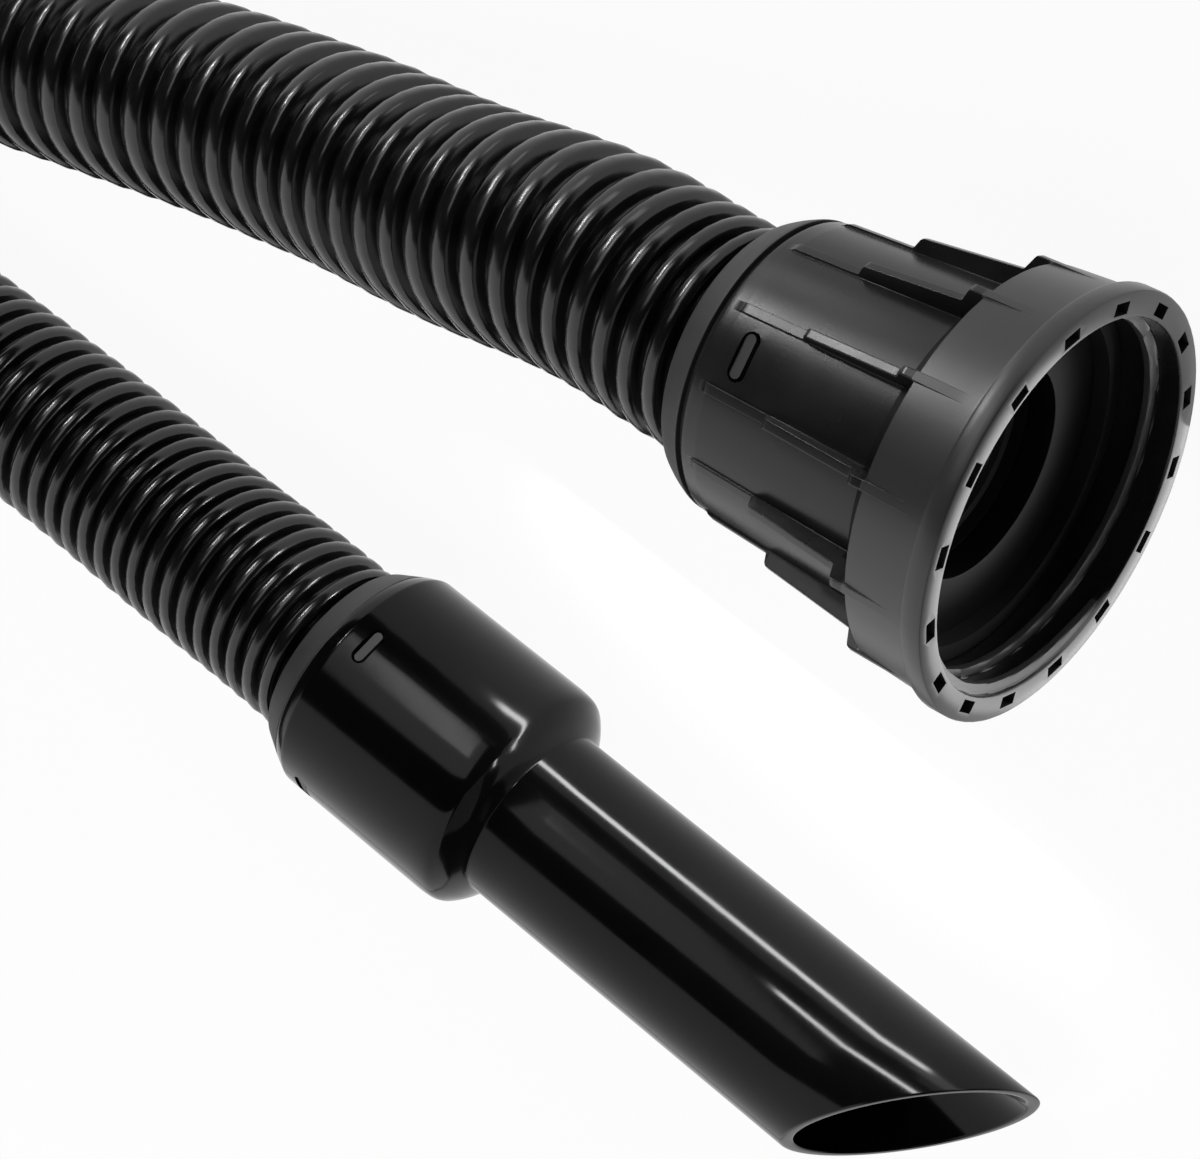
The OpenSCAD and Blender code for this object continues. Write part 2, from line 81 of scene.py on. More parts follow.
def closed_sheet(rows, columns):
    """Four-cornered faces of a sheet closed both ways: corners (i, j), (i+1, j), (i+1, j+1), (i, j+1)."""
    i, j = np.meshgrid(np.arange(rows), np.arange(columns), indexing="ij")
    down, along = (i + 1) % rows * columns, (j + 1) % columns
    return np.stack([i * columns + j, down + j, down + along, i * columns + along], -1).reshape(-1, 4)


def volume_inside(points, faces):
    """Volume = sum over triangles of corner_1 . (corner_2 x corner_3) / 6, which is negative inside out."""
    a, b, c, d = (points[faces[:, k]] for k in range(4))
    return float((np.sum(a * np.cross(b, c)) + np.sum(a * np.cross(c, d))) / 6)


def make_piece(name, points_mm, faces, sharper_than):
    """Object at the origin whose mesh holds the points, in metres, with edges sharp above an angle."""
    points = np.asarray(points_mm, float).reshape(-1, 3) * MM
    volume = volume_inside(points, faces)
    if volume < 0:
        faces = faces[:, ::-1]
    mesh = bpy.data.meshes.new(name)
    mesh.vertices.add(len(points))
    mesh.vertices.foreach_set("co", points.ravel())
    mesh.loops.add(faces.size)
    mesh.loops.foreach_set("vertex_index", faces.ravel())
    mesh.polygons.add(len(faces))
    mesh.polygons.foreach_set("loop_start", np.arange(0, faces.size, faces.shape[1]))
    mesh.update(calc_edges=True)
    mesh.validate()
    mesh.shade_smooth()
    mesh.set_sharp_from_angle(angle=np.radians(sharper_than))
    piece = bpy.data.objects.new(name, mesh)
    bpy.context.collection.objects.link(piece)
    print(name, "has", len(faces), "faces and holds", round(abs(volume) * 1e9), "cubic millimetres")
    return piece


# %% [markdown]
# ## The hose's route
# A hose is stiff: it leaves each swivel straight, bends slowly and then lies on the floor under its own
# weight. Its line could be drawn with Bezier handles, but a smooth curve near a few measured points is
# easier to keep at one length. A cubic B-spline does that for the two ends. What is left of the hose is
# put away in one and a half turns, which are circles with a slow change of radius and height.

# %% Curve near the measured points of each run
CONNECTOR_LENGTH = 54.4
RUN_STEPS = 12
CUFF_PLACE = np.array((-140.5, 170.8, -10.0))
CUFF_HEADING, TUBE_STARTS = np.radians(12.25), 48.65
CUFF_AXIS = np.array((np.sin(CUFF_HEADING), np.cos(CUFF_HEADING), 0.0))
machine_points = np.array([
    (0, 22.6, 0), (0, 36, 0), (0, 49, 0), (0, 62, 0), (0.5, 76, -1), (0.5, 90, -3), (-1, 105, -4),
    (-4.5, 120, -5.5), (-8, 135, -8), (-11, 150, -11), (-13.5, 165, -13.5), (-16.5, 180, -15),
    (-19, 200, -16), (-22, 220, -16), (-25, 240, -16),
], float)
cuff_points = np.vstack([CUFF_PLACE - back * CUFF_AXIS for back in (40.8, 27, 14, 0)] + [np.array([
    (-138, 184, -10.5), (-136.5, 197, -11.5), (-136, 210, -12.5), (-135.5, 223, -14),
    (-134.5, 236, -15), (-132.5, 250, -16), (-129, 270, -16), (-125.5, 290, -16),
], float)])


def smooth_line(points, steps):
    """Cubic B-spline: four points are blended by (1-t)^3, 3t^3-6t^2+4, -3t^3+3t^2+3t+1 and t^3, over 6."""
    points = np.vstack([2 * points[0] - points[1], points, 2 * points[-1] - points[-2]])
    t = np.arange(steps)[:, None] / steps
    weights = np.hstack([(1 - t) ** 3, 3 * t**3 - 6 * t**2 + 4, -3 * t**3 + 3 * t**2 + 3 * t + 1, t**3]) / 6
    spans = np.stack([points[k:len(points) - 3 + k] for k in range(4)])
    return np.vstack([np.einsum("tk,ksx->stx", weights, spans).reshape(-1, 3), points[-2]])


machine_run = smooth_line(machine_points, RUN_STEPS)
cuff_run = smooth_line(cuff_points, RUN_STEPS)
print("shown runs have", len(machine_run), "and", len(cuff_run), "points")

# %% Turns of the hose that is put away
TURN_OUTER, TURN_INNER, LEAD_RADIUS, LEAD_STRAIGHT, REST = 221.0, 179.0, 160.0, 40.0, -16.0
HOSE_RADIUS, STEP = 20.0, 2.0
NARROWS, CLIMBS, COMES_DOWN, CLIMB = (180, 330), (160, 235), (305, 380), 41.5
TIE_ANGLES, TIE_LIFT, TIE_REACH = (90, 450), 1.9, 35
STORED_ANGLE, STORED_POINTS, LEAD_POINTS = 540, 950, 21


def ahead(heading):
    """Flat direction at an angle from +Y towards +X."""
    return np.stack([np.sin(heading), np.cos(heading)], -1)


def way_to(a, b):
    """Angle of the step from a to b, from +Y towards +X."""
    return float(np.arctan2(b[0] - a[0], b[1] - a[1]))


def share(x, low, high):
    """How far x is between low and high, from 0 to 1."""
    return np.clip((x - low) / (high - low), 0, 1)


def ease(t):
    """Half a cosine wave from 0 to 1: (1 - cos(pi t)) / 2."""
    return (1 - np.cos(np.pi * t)) / 2


way_a, way_b = way_to(machine_points[-2], machine_points[-1]), way_to(cuff_points[-2], cuff_points[-1])
bend_a = machine_points[-1, :2] + LEAD_STRAIGHT * ahead(way_a)
bend_b = cuff_points[-1, :2] + LEAD_STRAIGHT * ahead(way_b)
room_across = TURN_OUTER + TURN_INNER - bend_a[0] + bend_b[0]
cosines = (np.cos(way_a) + np.cos(way_b) + 2 - room_across / LEAD_RADIUS) / 2
sines = ((bend_b[1] - bend_a[1]) / LEAD_RADIUS + np.sin(way_a) + np.sin(way_b)) / 2
mean_turn, half_gap = np.arccos(np.hypot(cosines, sines) / 2), np.arctan2(sines, cosines)
turn_a, turn_b = mean_turn + half_gap, mean_turn - half_gap
COIL_CENTER = np.array((
    bend_a[0] + LEAD_RADIUS * (np.cos(way_a) + 1 - 2 * np.cos(turn_a)) - TURN_OUTER,
    bend_a[1] + LEAD_RADIUS * (2 * np.sin(turn_a) - np.sin(way_a)),
))


def lead(start, heading, side, turn):
    """Straight on, then an arc away to one side by turn, then an arc back until it heads along +Y."""
    h = side * heading
    bend = start + LEAD_STRAIGHT * ahead(heading)
    back = bend + LEAD_RADIUS * np.array((side * (np.cos(h) - np.cos(turn)), np.sin(turn) - np.sin(h)))
    line = start + np.linspace(0, LEAD_STRAIGHT, LEAD_POINTS)[:-1, None] * ahead(heading)
    a = np.linspace(h, turn, int((turn - h) * LEAD_RADIUS / STEP), endpoint=False)
    away = bend + LEAD_RADIUS * np.stack([side * (np.cos(h) - np.cos(a)), np.sin(a) - np.sin(h)], -1)
    a = np.linspace(turn, 0, int(turn * LEAD_RADIUS / STEP), endpoint=False)
    home = back + LEAD_RADIUS * np.stack([side * (np.cos(a) - np.cos(turn)), np.sin(turn) - np.sin(a)], -1)
    return np.vstack([line, away, home])


def turns(a):
    """Circle whose radius eases from outer to inner, by t^2 (3 - 2t). It climbs over the lead-in, comes down
    again, and lies a strap's thickness higher where the strap passes under it."""
    t = share(a, *NARROWS)
    radius = TURN_OUTER - (TURN_OUTER - TURN_INNER) * t * t * (3 - 2 * t)
    height = REST + CLIMB * (ease(share(a, *CLIMBS)) - ease(share(a, *COMES_DOWN)))
    height = height + sum(TIE_LIFT * (1 - ease(share(abs(a - tie), 0, TIE_REACH))) for tie in TIE_ANGLES)
    at = np.radians(a)
    return np.stack([COIL_CENTER[0] + radius * np.cos(at), COIL_CENTER[1] + radius * np.sin(at), height], -1)


lead_in = lead(machine_points[-1, :2], way_a, 1, turn_a)
lead_out = lead(cuff_points[-1, :2], way_b, -1, turn_b)[::-1]
stored_line = np.vstack([
    np.column_stack([lead_in, np.full(len(lead_in), REST)]),
    turns(np.linspace(0, STORED_ANGLE, STORED_POINTS)),
    np.column_stack([lead_out, np.full(len(lead_out), REST)]),
])
hose_line = np.vstack([machine_run[:-1], stored_line[:-1], cuff_run[::-1]])
at_length = np.append(0, np.cumsum(np.linalg.norm(np.diff(hose_line, axis=0), axis=1)))
HOSE_LENGTH = float(at_length[-1])
machine_length = float(at_length[len(machine_run) - 1])
cuff_length = HOSE_LENGTH - float(at_length[len(machine_run) + len(stored_line) - 2])
print("hose is", round(HOSE_LENGTH), "mm long")
print("its two ends take", round(machine_length), "and", round(cuff_length), "mm of that")

# %% [markdown]
# ## The corrugated hose
# The hose is blow moulded: every few millimetres the wall stands out in a rounded rib, and falls back into a
# narrow groove. It gives like a spring, so the ribs sit 5 mm apart where a swivel holds them and spread out
# further on. A Curve with an array of rings would leave seams between them. Here the grooves are placed
# first, and the rib's outline is fitted between each two and carried round the route, so that the wall stays
# one skin. The shown ends get twelve rings a rib, the stored turns three, and the smooth bore closes it.

# %% Hose skin
SIDES, BORE_RINGS, GROOVE_SAMPLES = 36, 123, 4000
BORE_RADIUS, GROOVE_RADIUS, STORED_PITCH = 16.0, 17.0, 7.2
MACHINE_REACH, CUFF_REACH, LOOK_AROUND = 330, 300, 3
full_rib = np.array([
    (0, 17), (0.10, 17), (0.155, 17.6), (0.20, 18.9), (0.26, 19.6), (0.36, 19.93),
    (0.50, 20), (0.64, 19.93), (0.74, 19.6), (0.80, 18.9), (0.845, 17.6), (0.90, 17),
])
plain_rib = np.array([(0, 17), (0.24, 20), (0.76, 20)])


def grooves(at, pitch, reach):
    """Distances of the grooves from a hose end: groove k is where the integral of 1 / pitch reaches k."""
    way = np.linspace(0, reach, GROOVE_SAMPLES)
    number = np.append(0, np.cumsum(np.diff(way) / np.interp(way[1:], at, pitch)))
    return np.interp(np.arange(int(number[-1]) + 1), number, way)


def ribs_at(groove, outline):
    """Station and radius of each ring: the rib's outline, fitted between each two grooves."""
    station = groove[:-1, None] + np.diff(groove)[:, None] * outline[None, :, 0]
    return np.column_stack([station.ravel(), np.tile(outline[:, 1], len(groove) - 1)])


machine_grooves = grooves([0, 48, 62, 100, 122], [5.07, 5.07, 6.4, 7.1, 8.1], MACHINE_REACH)
cuff_grooves = HOSE_LENGTH - grooves([0, 38, 44, 60, 90], [5.31, 5.31, 4.9, 5.0, 5.85], CUFF_REACH)[::-1]
stored = cuff_grooves[0] - machine_grooves[-1]
stored_grooves = np.linspace(machine_grooves[-1], cuff_grooves[0], round(stored / STORED_PITCH) + 1)
print("hose has", len(machine_grooves) + len(stored_grooves) + len(cuff_grooves) - 3, "ribs")
outside = np.vstack([
    ribs_at(machine_grooves, full_rib), ribs_at(stored_grooves, plain_rib), ribs_at(cuff_grooves, full_rib),
    [(HOSE_LENGTH, GROOVE_RADIUS)],
])
inside = np.column_stack([np.linspace(HOSE_LENGTH, 0, BORE_RINGS), np.full(BORE_RINGS, BORE_RADIUS)])
rings = np.vstack([outside, inside])


def along_line(station):
    """Place on the route at a length from its start."""
    return np.stack([np.interp(station, at_length, hose_line[:, axis]) for axis in range(3)], -1)


center = along_line(rings[:, 0])
ahead_of_ring = np.minimum(rings[:, 0] + LOOK_AROUND, HOSE_LENGTH)
behind_ring = np.maximum(rings[:, 0] - LOOK_AROUND, 0)
along = along_line(ahead_of_ring) - along_line(behind_ring)
along /= np.linalg.norm(along, axis=1)[:, None]
aside = np.cross(along, (0, 0, 1.0))
aside /= np.linalg.norm(aside, axis=1)[:, None]
up = np.cross(aside, along)
turn = np.linspace(0, 2 * np.pi, SIDES, endpoint=False)
skin = center[:, None] + rings[:, 1, None, None] * (
    np.cos(turn)[:, None] * aside[:, None] + np.sin(turn)[:, None] * up[:, None]
)
hose = make_piece("hose", skin, closed_sheet(len(rings), SIDES), ALL_SMOOTH)
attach(hose, "hose")
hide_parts("hose_machine_run", "hose_coil", "hose_wand_run")

# %% [markdown]
# ## Outlines with rounded corners
# No moulded edge is truly sharp, and the thin bright line along an edge is what makes a black part readable.
# A Bevel modifier could round the finished mesh, but a turned part's outline is only a few points, so it is
# simpler to round those first: each corner gives way to a curve between two points on its sides.

# %% Rounded outline
MOST_OF_A_SIDE = 0.45


def rounded(outline, bend=3):
    """Closed outline of (radius, station, rounding): corner c becomes (1-t)^2 p + 2t(1-t) c + t^2 q, where p
    and q are the points on its two sides at the distance of the rounding."""
    corner = np.array([row[:2] for row in outline], float)
    size = np.array([row[2] for row in outline], float)
    before, after = np.roll(corner, 1, 0) - corner, np.roll(corner, -1, 0) - corner
    reach_in, reach_out = np.linalg.norm(before, axis=1), np.linalg.norm(after, axis=1)
    p = corner + before / reach_in[:, None] * np.minimum(size, MOST_OF_A_SIDE * reach_in)[:, None]
    q = corner + after / reach_out[:, None] * np.minimum(size, MOST_OF_A_SIDE * reach_out)[:, None]
    t = np.linspace(0, 1, bend + 2)[:, None, None]
    curve = (1 - t) ** 2 * p + 2 * t * (1 - t) * corner + t**2 * q
    soft, points = size > 0, []
    for k in range(len(corner)):
        points.append(curve[:, k] if soft[k] else corner[k:k + 1])
    return np.vstack(points)


square = [(0, 0, 1), (4, 0, 1), (4, 4, 1), (0, 4, 1)]
print("a square with rounded corners has", len(rounded(square)), "points")


# %% Places around the two axes
def to_connector(radius, angle, station):
    """Cylinder coordinates of the connector, station counted from its rear edge, to the shared frame."""
    return np.stack([radius * np.cos(angle), CONNECTOR_LENGTH - station, radius * np.sin(angle)], -1)


def to_cuff(radius, angle, station):
    """The same for the cuff, whose axis lies flat and is turned by its heading."""
    x, y = radius * np.cos(angle), radius * np.sin(angle)
    return np.stack([
        CUFF_PLACE[0] + x * np.cos(CUFF_HEADING) - station * np.sin(CUFF_HEADING),
        CUFF_PLACE[1] - x * np.sin(CUFF_HEADING) - station * np.cos(CUFF_HEADING),
        CUFF_PLACE[2] + y,
    ], -1)


print("the nozzle tube starts at", to_cuff(0, 0, TUBE_STARTS).round(1))

# %% [markdown]
# ## Connector body
# The tank connector is one moulding: a housing that widens towards the front, twelve grip ribs for the
# fingers, a coupling ring with a flange, and inside the mouth a thread of almost two turns. Ribs and
# thread could be separate solids joined by booleans, but then each joint needs a fillet of its own. Instead
# the outline goes round once, and its radius gets a small amount added where a rib or the ridge passes.

# %% How far the grip ribs stand out, at each station
TAB_STARTS = 36.6
grip_profile = np.array([
    (0, 0), (2.5, 0), (3.0, 0.35), (3.5, 0.5), (15.5, 0.5), (15.8, 0.8), (16.4, 2.1), (16.8, 2.45),
    (34.3, 3.46), (34.8, 3.52), (35.0, 3.7), (36.05, 5.72), (36.3, 6.05), (TAB_STARTS, 6.19),
])
tab_top = np.array([(TAB_STARTS, 34.35), (47.0, 34.63)])
print("grip ribs stand out by up to", grip_profile[:, 1].max(), "mm")

# %% Outline of the connector body
WALL, RIBBED, THREADED = 0, 1, 2
HOUSING_RADIUS, HOUSING_STARTS, HOUSING_SLOPE = 26, 3.2, 3.7
THREAD_RADIUS = 31.5
body_stations = np.array([
    HOUSING_STARTS, 3.6, 4.5, 6, 8, 10, 12, 14, 15.2, 15.5, 15.65, 15.8, 16.1, 16.4, 16.6, 16.8, 17.2, 18.5,
    21, 24, 27, 30, 32.5, 33.7, 34.3, 34.55, 34.8, 34.9, 35.0, 35.35, 35.7, 36.05, 36.17, 36.3, 36.45, 36.6,
    37.2, 38.0, 38.7,
])
body_radius = HOUSING_RADIUS + (body_stations - HOUSING_STARTS) * np.tan(np.radians(HOUSING_SLOPE))
edge_stations = np.array([0, 0.05, 0.18, 0.45, 1.2, 2.0, 2.7, 3.0])
edge_radius = np.array([25.25, 25.45, 25.58, 25.65, 25.74, 25.84, 25.93, 25.97])
mouth_stations = np.arange(54.0, 43.2, -0.2)
ring_rows = np.array([
    (33.3, 38.74), (33.75, 38.82), (34.0, 39.05), (34.08, 40.0), (34.17, 41.0), (34.32, 43.0), (34.47, 45.0),
    (34.55, 46.0), (34.62, 47.0),
])
flange_rows = np.array([
    (34.7, 48.0), (34.85, 50.0), (34.9, 50.45), (35.0, 50.6), (35.35, 50.6), (35.8, 50.75), (36.0, 51.2),
    (36.0, 52.5), (36.0, 53.8), (35.85, 54.2), (35.5, 54.4), (33.5, 54.4), (31.95, 54.4),
])
mouth_rows = np.vstack([
    [(31.65, 54.3)], np.column_stack([np.full(len(mouth_stations), THREAD_RADIUS), mouth_stations]),
])
inner_rows = np.array([
    (THREAD_RADIUS, 42), (THREAD_RADIUS, 40.2), (25, 40.2), (18.4, 40.2), (18.1, 40.05), (18, 39.7),
    (18, 35.3), (22.3, 35.3), (22.3, 20.8), (24, 20.8), (24, 10), (24, 0.3), (24.15, 0.02),
])
outline = np.vstack([
    np.column_stack([rows, np.full(len(rows), kind)])
    for rows, kind in (
        (np.column_stack([edge_radius, edge_stations]), RIBBED),
        (np.column_stack([body_radius, body_stations]), RIBBED),
        (ring_rows, RIBBED), (flange_rows, WALL), (mouth_rows, THREADED), (inner_rows, WALL),
    )
])
row_radius, row_station, row_kind = outline.T
print("connector outline has", len(outline), "rows")

# %% Columns of the connector body, close together at each grip rib
GRIP_COUNT, GRIP_TURN, RIB_REACH, COLUMNS_BETWEEN = 12, 3.0, 1.35, 5
half_rib = np.array([0.5, 0.70, 0.75, 0.79, 0.802, 0.838, 0.85, 0.90, 1.0, RIB_REACH])
half_share = np.array([1, 1, 0.994, 0.98, 0.955, 0.05, 0.02, 0.004, 0, 0])
near_rib = np.concatenate([-half_rib[::-1], [0], half_rib])
rib_share = np.concatenate([half_share[::-1], [1], half_share])
offset = np.concatenate([near_rib, np.full(COLUMNS_BETWEEN, RIB_REACH)])
steps_between = np.arange(1, COLUMNS_BETWEEN + 1) / (COLUMNS_BETWEEN + 1)
between = np.concatenate([np.zeros(len(near_rib)), steps_between])
weight = np.concatenate([rib_share, np.zeros(COLUMNS_BETWEEN)])
print("connector body has", GRIP_COUNT * len(offset), "columns")


def columns_at(radius):
    """Angle = rib's angle + offset / radius + share of the room between two ribs, for each row and column."""
    rib = np.radians(GRIP_TURN + 360 / GRIP_COUNT * np.arange(GRIP_COUNT))[None, :, None]
    room = np.radians(360 / GRIP_COUNT) - 2 * RIB_REACH / radius[:, None, None]
    angle = rib + offset[None, None] / radius[:, None, None] + between[None, None] * room
    return angle.reshape(len(radius), -1)


# %% Thread
THREAD_PITCH, THREAD_HEIGHT, THREAD_HALF, THREAD_FLANK, THREAD_FADE = 5.2, 1.5, 1.15, 0.6, 20
THREAD_FROM, THREAD_TURN, THREAD_SPAN = 44.4, -40.0, 612.0


def thread_ridge(angle, station):
    """Height = t^2 (3 - 2t) in the distance t from the helix, faded over some degrees at both its ends."""
    height = np.zeros(angle.shape)
    for lap in (0, 1):
        a = (np.degrees(angle) - THREAD_TURN) % 360 + 360 * lap
        away = np.abs(station - THREAD_FROM - THREAD_PITCH * a / 360)
        t = share(THREAD_HALF - away, 0, THREAD_FLANK)
        fade = share(np.minimum(a, THREAD_SPAN - a), 0, THREAD_FADE)
        height = np.maximum(height, THREAD_HEIGHT * t * t * (3 - 2 * t) * fade)
    return height


print("thread makes", round(THREAD_SPAN / 360, 1), "turns")

# %% Connector body
BODY_SHARP = 38
rib_height = np.interp(row_station, grip_profile[:, 0], grip_profile[:, 1])
on_ring = np.maximum(np.interp(row_station, tab_top[:, 0], tab_top[:, 1]) - row_radius, 0)
rib_height = np.where(row_kind == RIBBED, np.where(row_station > TAB_STARTS, on_ring, rib_height), 0)
angle = columns_at(row_radius + rib_height)
radius = row_radius[:, None] + rib_height[:, None] * np.tile(weight, GRIP_COUNT)[None]
in_thread = (row_kind == THREADED)[:, None]
radius = radius - np.where(in_thread, thread_ridge(angle, row_station[:, None]), 0)
station = np.broadcast_to(row_station[:, None], radius.shape)
connector = make_piece(
    "connector_body_shell", to_connector(radius, angle, station), closed_sheet(*radius.shape), BODY_SHARP
)

# %% [markdown]
# ## Holes cut afterwards
# The flange has sixteen shallow pockets that save plastic, and both housings have four oblong windows that
# the retaining ring's lugs snap into. They cross the sheet's rows and columns at odd places, so they are cut
# with a boolean from small solids. Each cutter is again a closed sheet, and goes once its cut is made.

# %% Oblong solids, and joining or cutting with them
OBLONG_CORNERS, MERGE_METRES = 48, 1e-6


def oblong_solid(place, turn, at, length, width, low, high):
    """Oblong bar that points outwards: half circles of the width at both ends, from radius low to high."""
    a = np.radians(np.arange(OBLONG_CORNERS) * (360 / OBLONG_CORNERS))
    across = np.cos(a) * (width / 2) + np.sign(np.cos(a)) * (length - width) / 2
    up = at + np.sin(a) * (width / 2)
    out = np.radians(turn)
    middle = np.zeros(OBLONG_CORNERS)
    rows = ((low, middle), (low, across), (high, across), (high, middle))
    x = np.stack([radius * np.cos(out) - sideways * np.sin(out) for radius, sideways in rows])
    y = np.stack([radius * np.sin(out) + sideways * np.cos(out) for radius, sideways in rows])
    up = np.stack([middle + at, up, up, middle + at])
    return place(np.hypot(x, y), np.arctan2(y, x), up)


def closed_bar(points):
    """Faces of a bar whose first and last rows are one point each."""
    rows, columns = points.shape[:2]
    return closed_sheet(rows, columns)[:(rows - 1) * columns]


def combine(piece, solids, operation, sharper_than):
    """Boolean of the piece with all solids at once, kept as its new mesh; the solids are removed."""
    flat, faces, first = [], [], 0
    for points in solids:
        flat.append(points.reshape(-1, 3))
        faces.append(closed_bar(points) + first)
        first += flat[-1].shape[0]
    tool = make_piece("tool", np.vstack(flat), np.vstack(faces), ALL_SMOOTH)
    clean = tool.modifiers.new("merge", "WELD")
    clean.merge_threshold = MERGE_METRES
    change = piece.modifiers.new("change", "BOOLEAN")
    change.operation, change.object, change.solver = operation, tool, "EXACT"
    bpy.context.view_layer.update()
    changed = bpy.data.meshes.new_from_object(piece.evaluated_get(bpy.context.evaluated_depsgraph_get()))
    piece.modifiers.clear()
    piece.data = changed
    changed.name = piece.name
    changed.shade_smooth()
    changed.set_sharp_from_angle(angle=np.radians(sharper_than))
    bpy.data.objects.remove(tool)
    print(piece.name, "now has", len(changed.polygons), "faces")


# %% Windows and pockets of the connector
CONNECTOR_WINDOWS = [48 + 90 * k for k in range(4)]
CUFF_WINDOWS = [21.4 + 90 * k for k in range(4)]
WINDOW_LENGTH, WINDOW_WIDTH, CONNECTOR_WINDOW_AT, CUFF_WINDOW_AT = 8.4, 3.4, 7.4, 8.0
POCKET_COUNT, POCKET_TURN, POCKET_RADIUS, POCKET_FLOOR, PAST_FACE = 16, 3.5, 33.3, 51.9, 56
POCKET_ACROSS, POCKET_AROUND = 2.1, 3.8
CONNECTOR_CUT, CUFF_CUT = (23.0, 29.0), (23.0, 28.0)


def pocket(turn):
    """Box with its middle on the flange, from its floor to past the flange's face."""
    corner = np.array([(-1, -1), (1, -1), (1, 1), (-1, 1)], float) * (POCKET_ACROSS / 2, POCKET_AROUND / 2)
    x, y = POCKET_RADIUS + corner[:, 0], corner[:, 1]
    at = np.array([POCKET_FLOOR, POCKET_FLOOR, PAST_FACE, PAST_FACE])[:, None] + np.zeros(4)
    x, y = (np.vstack([np.full(4, v.mean()), v, v, np.full(4, v.mean())]) for v in (x, y))
    return to_connector(np.hypot(x, y), np.arctan2(y, x) + np.radians(turn), at)


cuts = [
    oblong_solid(to_connector, t, CONNECTOR_WINDOW_AT, WINDOW_LENGTH, WINDOW_WIDTH, *CONNECTOR_CUT)
    for t in CONNECTOR_WINDOWS
]
cuts += [pocket(POCKET_TURN + 360 / POCKET_COUNT * k) for k in range(POCKET_COUNT)]
combine(connector, cuts, "DIFFERENCE", BODY_SHARP)
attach(connector, "connector")
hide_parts("connector_body")

# %% [markdown]
# ## Retaining rings
# Behind each housing a ring closes the swivel: a bezel that narrows in steps to a lip around the hose, and a
# thin skirt that slides into the housing and snaps in with four lugs. It is a turned part, so its outline is
# carried round the axis as it is, and the lugs are joined on.

# %% Turned solids, and the two rings
COLUMNS, RING_SHARP = 144, 34
LUG_LENGTH, LUG_WIDTH, CONNECTOR_LUG_AT, CUFF_LUG_AT, LUG_REACH = 7.4, 1.9, 6.95, 8.0, (23.1, 25.6)
LIP_RADIUS, SKIRT_INNER, SKIRT_OUTER, SKIRT_END = 20.6, 22.3, 23.9, 16.6


def turned(name, place, outline, sharper_than):
    """Outline of (radius, station) points carried round the axis."""
    turn = np.linspace(0, 2 * np.pi, COLUMNS, endpoint=False)
    shape = (len(outline), COLUMNS)
    points = place(
        np.broadcast_to(outline[:, :1], shape), np.broadcast_to(turn, shape),
        np.broadcast_to(outline[:, 1:2], shape),
    )
    return make_piece(name, points, closed_sheet(*shape), sharper_than)


def retaining_ring(name, place, bezel, windows, at, body, node):
    """Ring with its bezel, lip and skirt, and a lug in each window."""
    outline = rounded([(24.0, 0, 0), (24.4, 0, 0)] + bezel + [
        (LIP_RADIUS, -3.3, 0.3), (SKIRT_INNER, -1.6, 0.3), (SKIRT_INNER, SKIRT_END, 0.3),
        (SKIRT_OUTER, SKIRT_END, 0.3), (SKIRT_OUTER, 0.2, 0),
    ])
    ring = turned(name, place, outline, RING_SHARP)
    lugs = [oblong_solid(place, t, at, LUG_LENGTH, LUG_WIDTH, *LUG_REACH) for t in windows]
    combine(ring, lugs, "UNION", RING_SHARP)
    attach(ring, body)
    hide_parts(node)
    return ring


connector_ring = retaining_ring(
    "connector_bezel", to_connector,
    [(24.4, -1.1, 0), (25.5, -1.1, 0.2), (25.3, -1.8, 0.3), (24.9, -2.7, 0.4), (24.3, -4.0, 0.5),
     (23.6, -5.2, 0.4), (23.1, -6.0, 0.4), (22.4, -6.6, 0.4), (LIP_RADIUS, -6.6, 0.25)],
    CONNECTOR_WINDOWS, CONNECTOR_LUG_AT, "connector", "connector_retaining_ring",
)
cuff_ring = retaining_ring(
    "cuff_bezel", to_cuff,
    [(24.4, -0.4, 0), (24.5, -0.4, 0.08), (21.8, -5.3, 0.6), (21.2, -5.9, 0.25), (LIP_RADIUS, -5.9, 0.2)],
    CUFF_WINDOWS, CUFF_LUG_AT, "cuff", "cuff_retaining_ring",
)

# %% [markdown]
# ## Cuff and nozzle tube
# The cuff is a smooth glossy housing with a rounded shoulder, and its nozzle tube ends in a slanted cut, so
# that it doesn't suck itself flat onto a carpet. Cutting a straight tube with a boolean would leave a rim
# that is sharp. Letting the last rows end on the slanted plane keeps the rim's rounding even all round.

# %% Outline of the cuff, and the plane of its cut
TUBE_RADIUS, TUBE_BORE, BORE_STARTS = 19.0, 17.0, 45.0
CUT_FROM, CUT_SLANT, CUT_TURN = 147.5, np.radians(41), np.radians(292)
shoulder_rows = rounded([
    (26, 37.5, 0), (26, 40.5, 1.2), (25.79, 42.8, 1.0), (25.3, 43.98, 0.6), (24.39, 44.92, 0.7),
    (22.92, 46.19, 1.0), (20.89, 47.37, 1.0), (19.25, 48.27, 0),
], 2)
housing_rows = np.vstack([
    [(24, 0.3), (24.15, 0.02), (24.5, 0), (24.7, 0.05), (24.85, 0.25), (25.35, 1.35), (25.88, 2.52),
     (25.96, 2.74), (26, 3.0), (26, 3.5), (26, 12), (26, 22), (26, 31)],
    shoulder_rows, [(19.07, 48.42), (TUBE_RADIUS, TUBE_STARTS)],
])
chamber_rows = np.array([
    (TUBE_BORE, BORE_STARTS), (TUBE_BORE, 44.3), (22.3, 44.3), (22.3, 20.8), (24, 20.8), (24, 10),
])


def slanted_end(radius, angle):
    """Station of the cut = start + radius * tan(slant) * cos(angle - the turn of its longest point)."""
    return CUT_FROM + radius * np.tan(CUT_SLANT) * np.cos(angle - CUT_TURN)


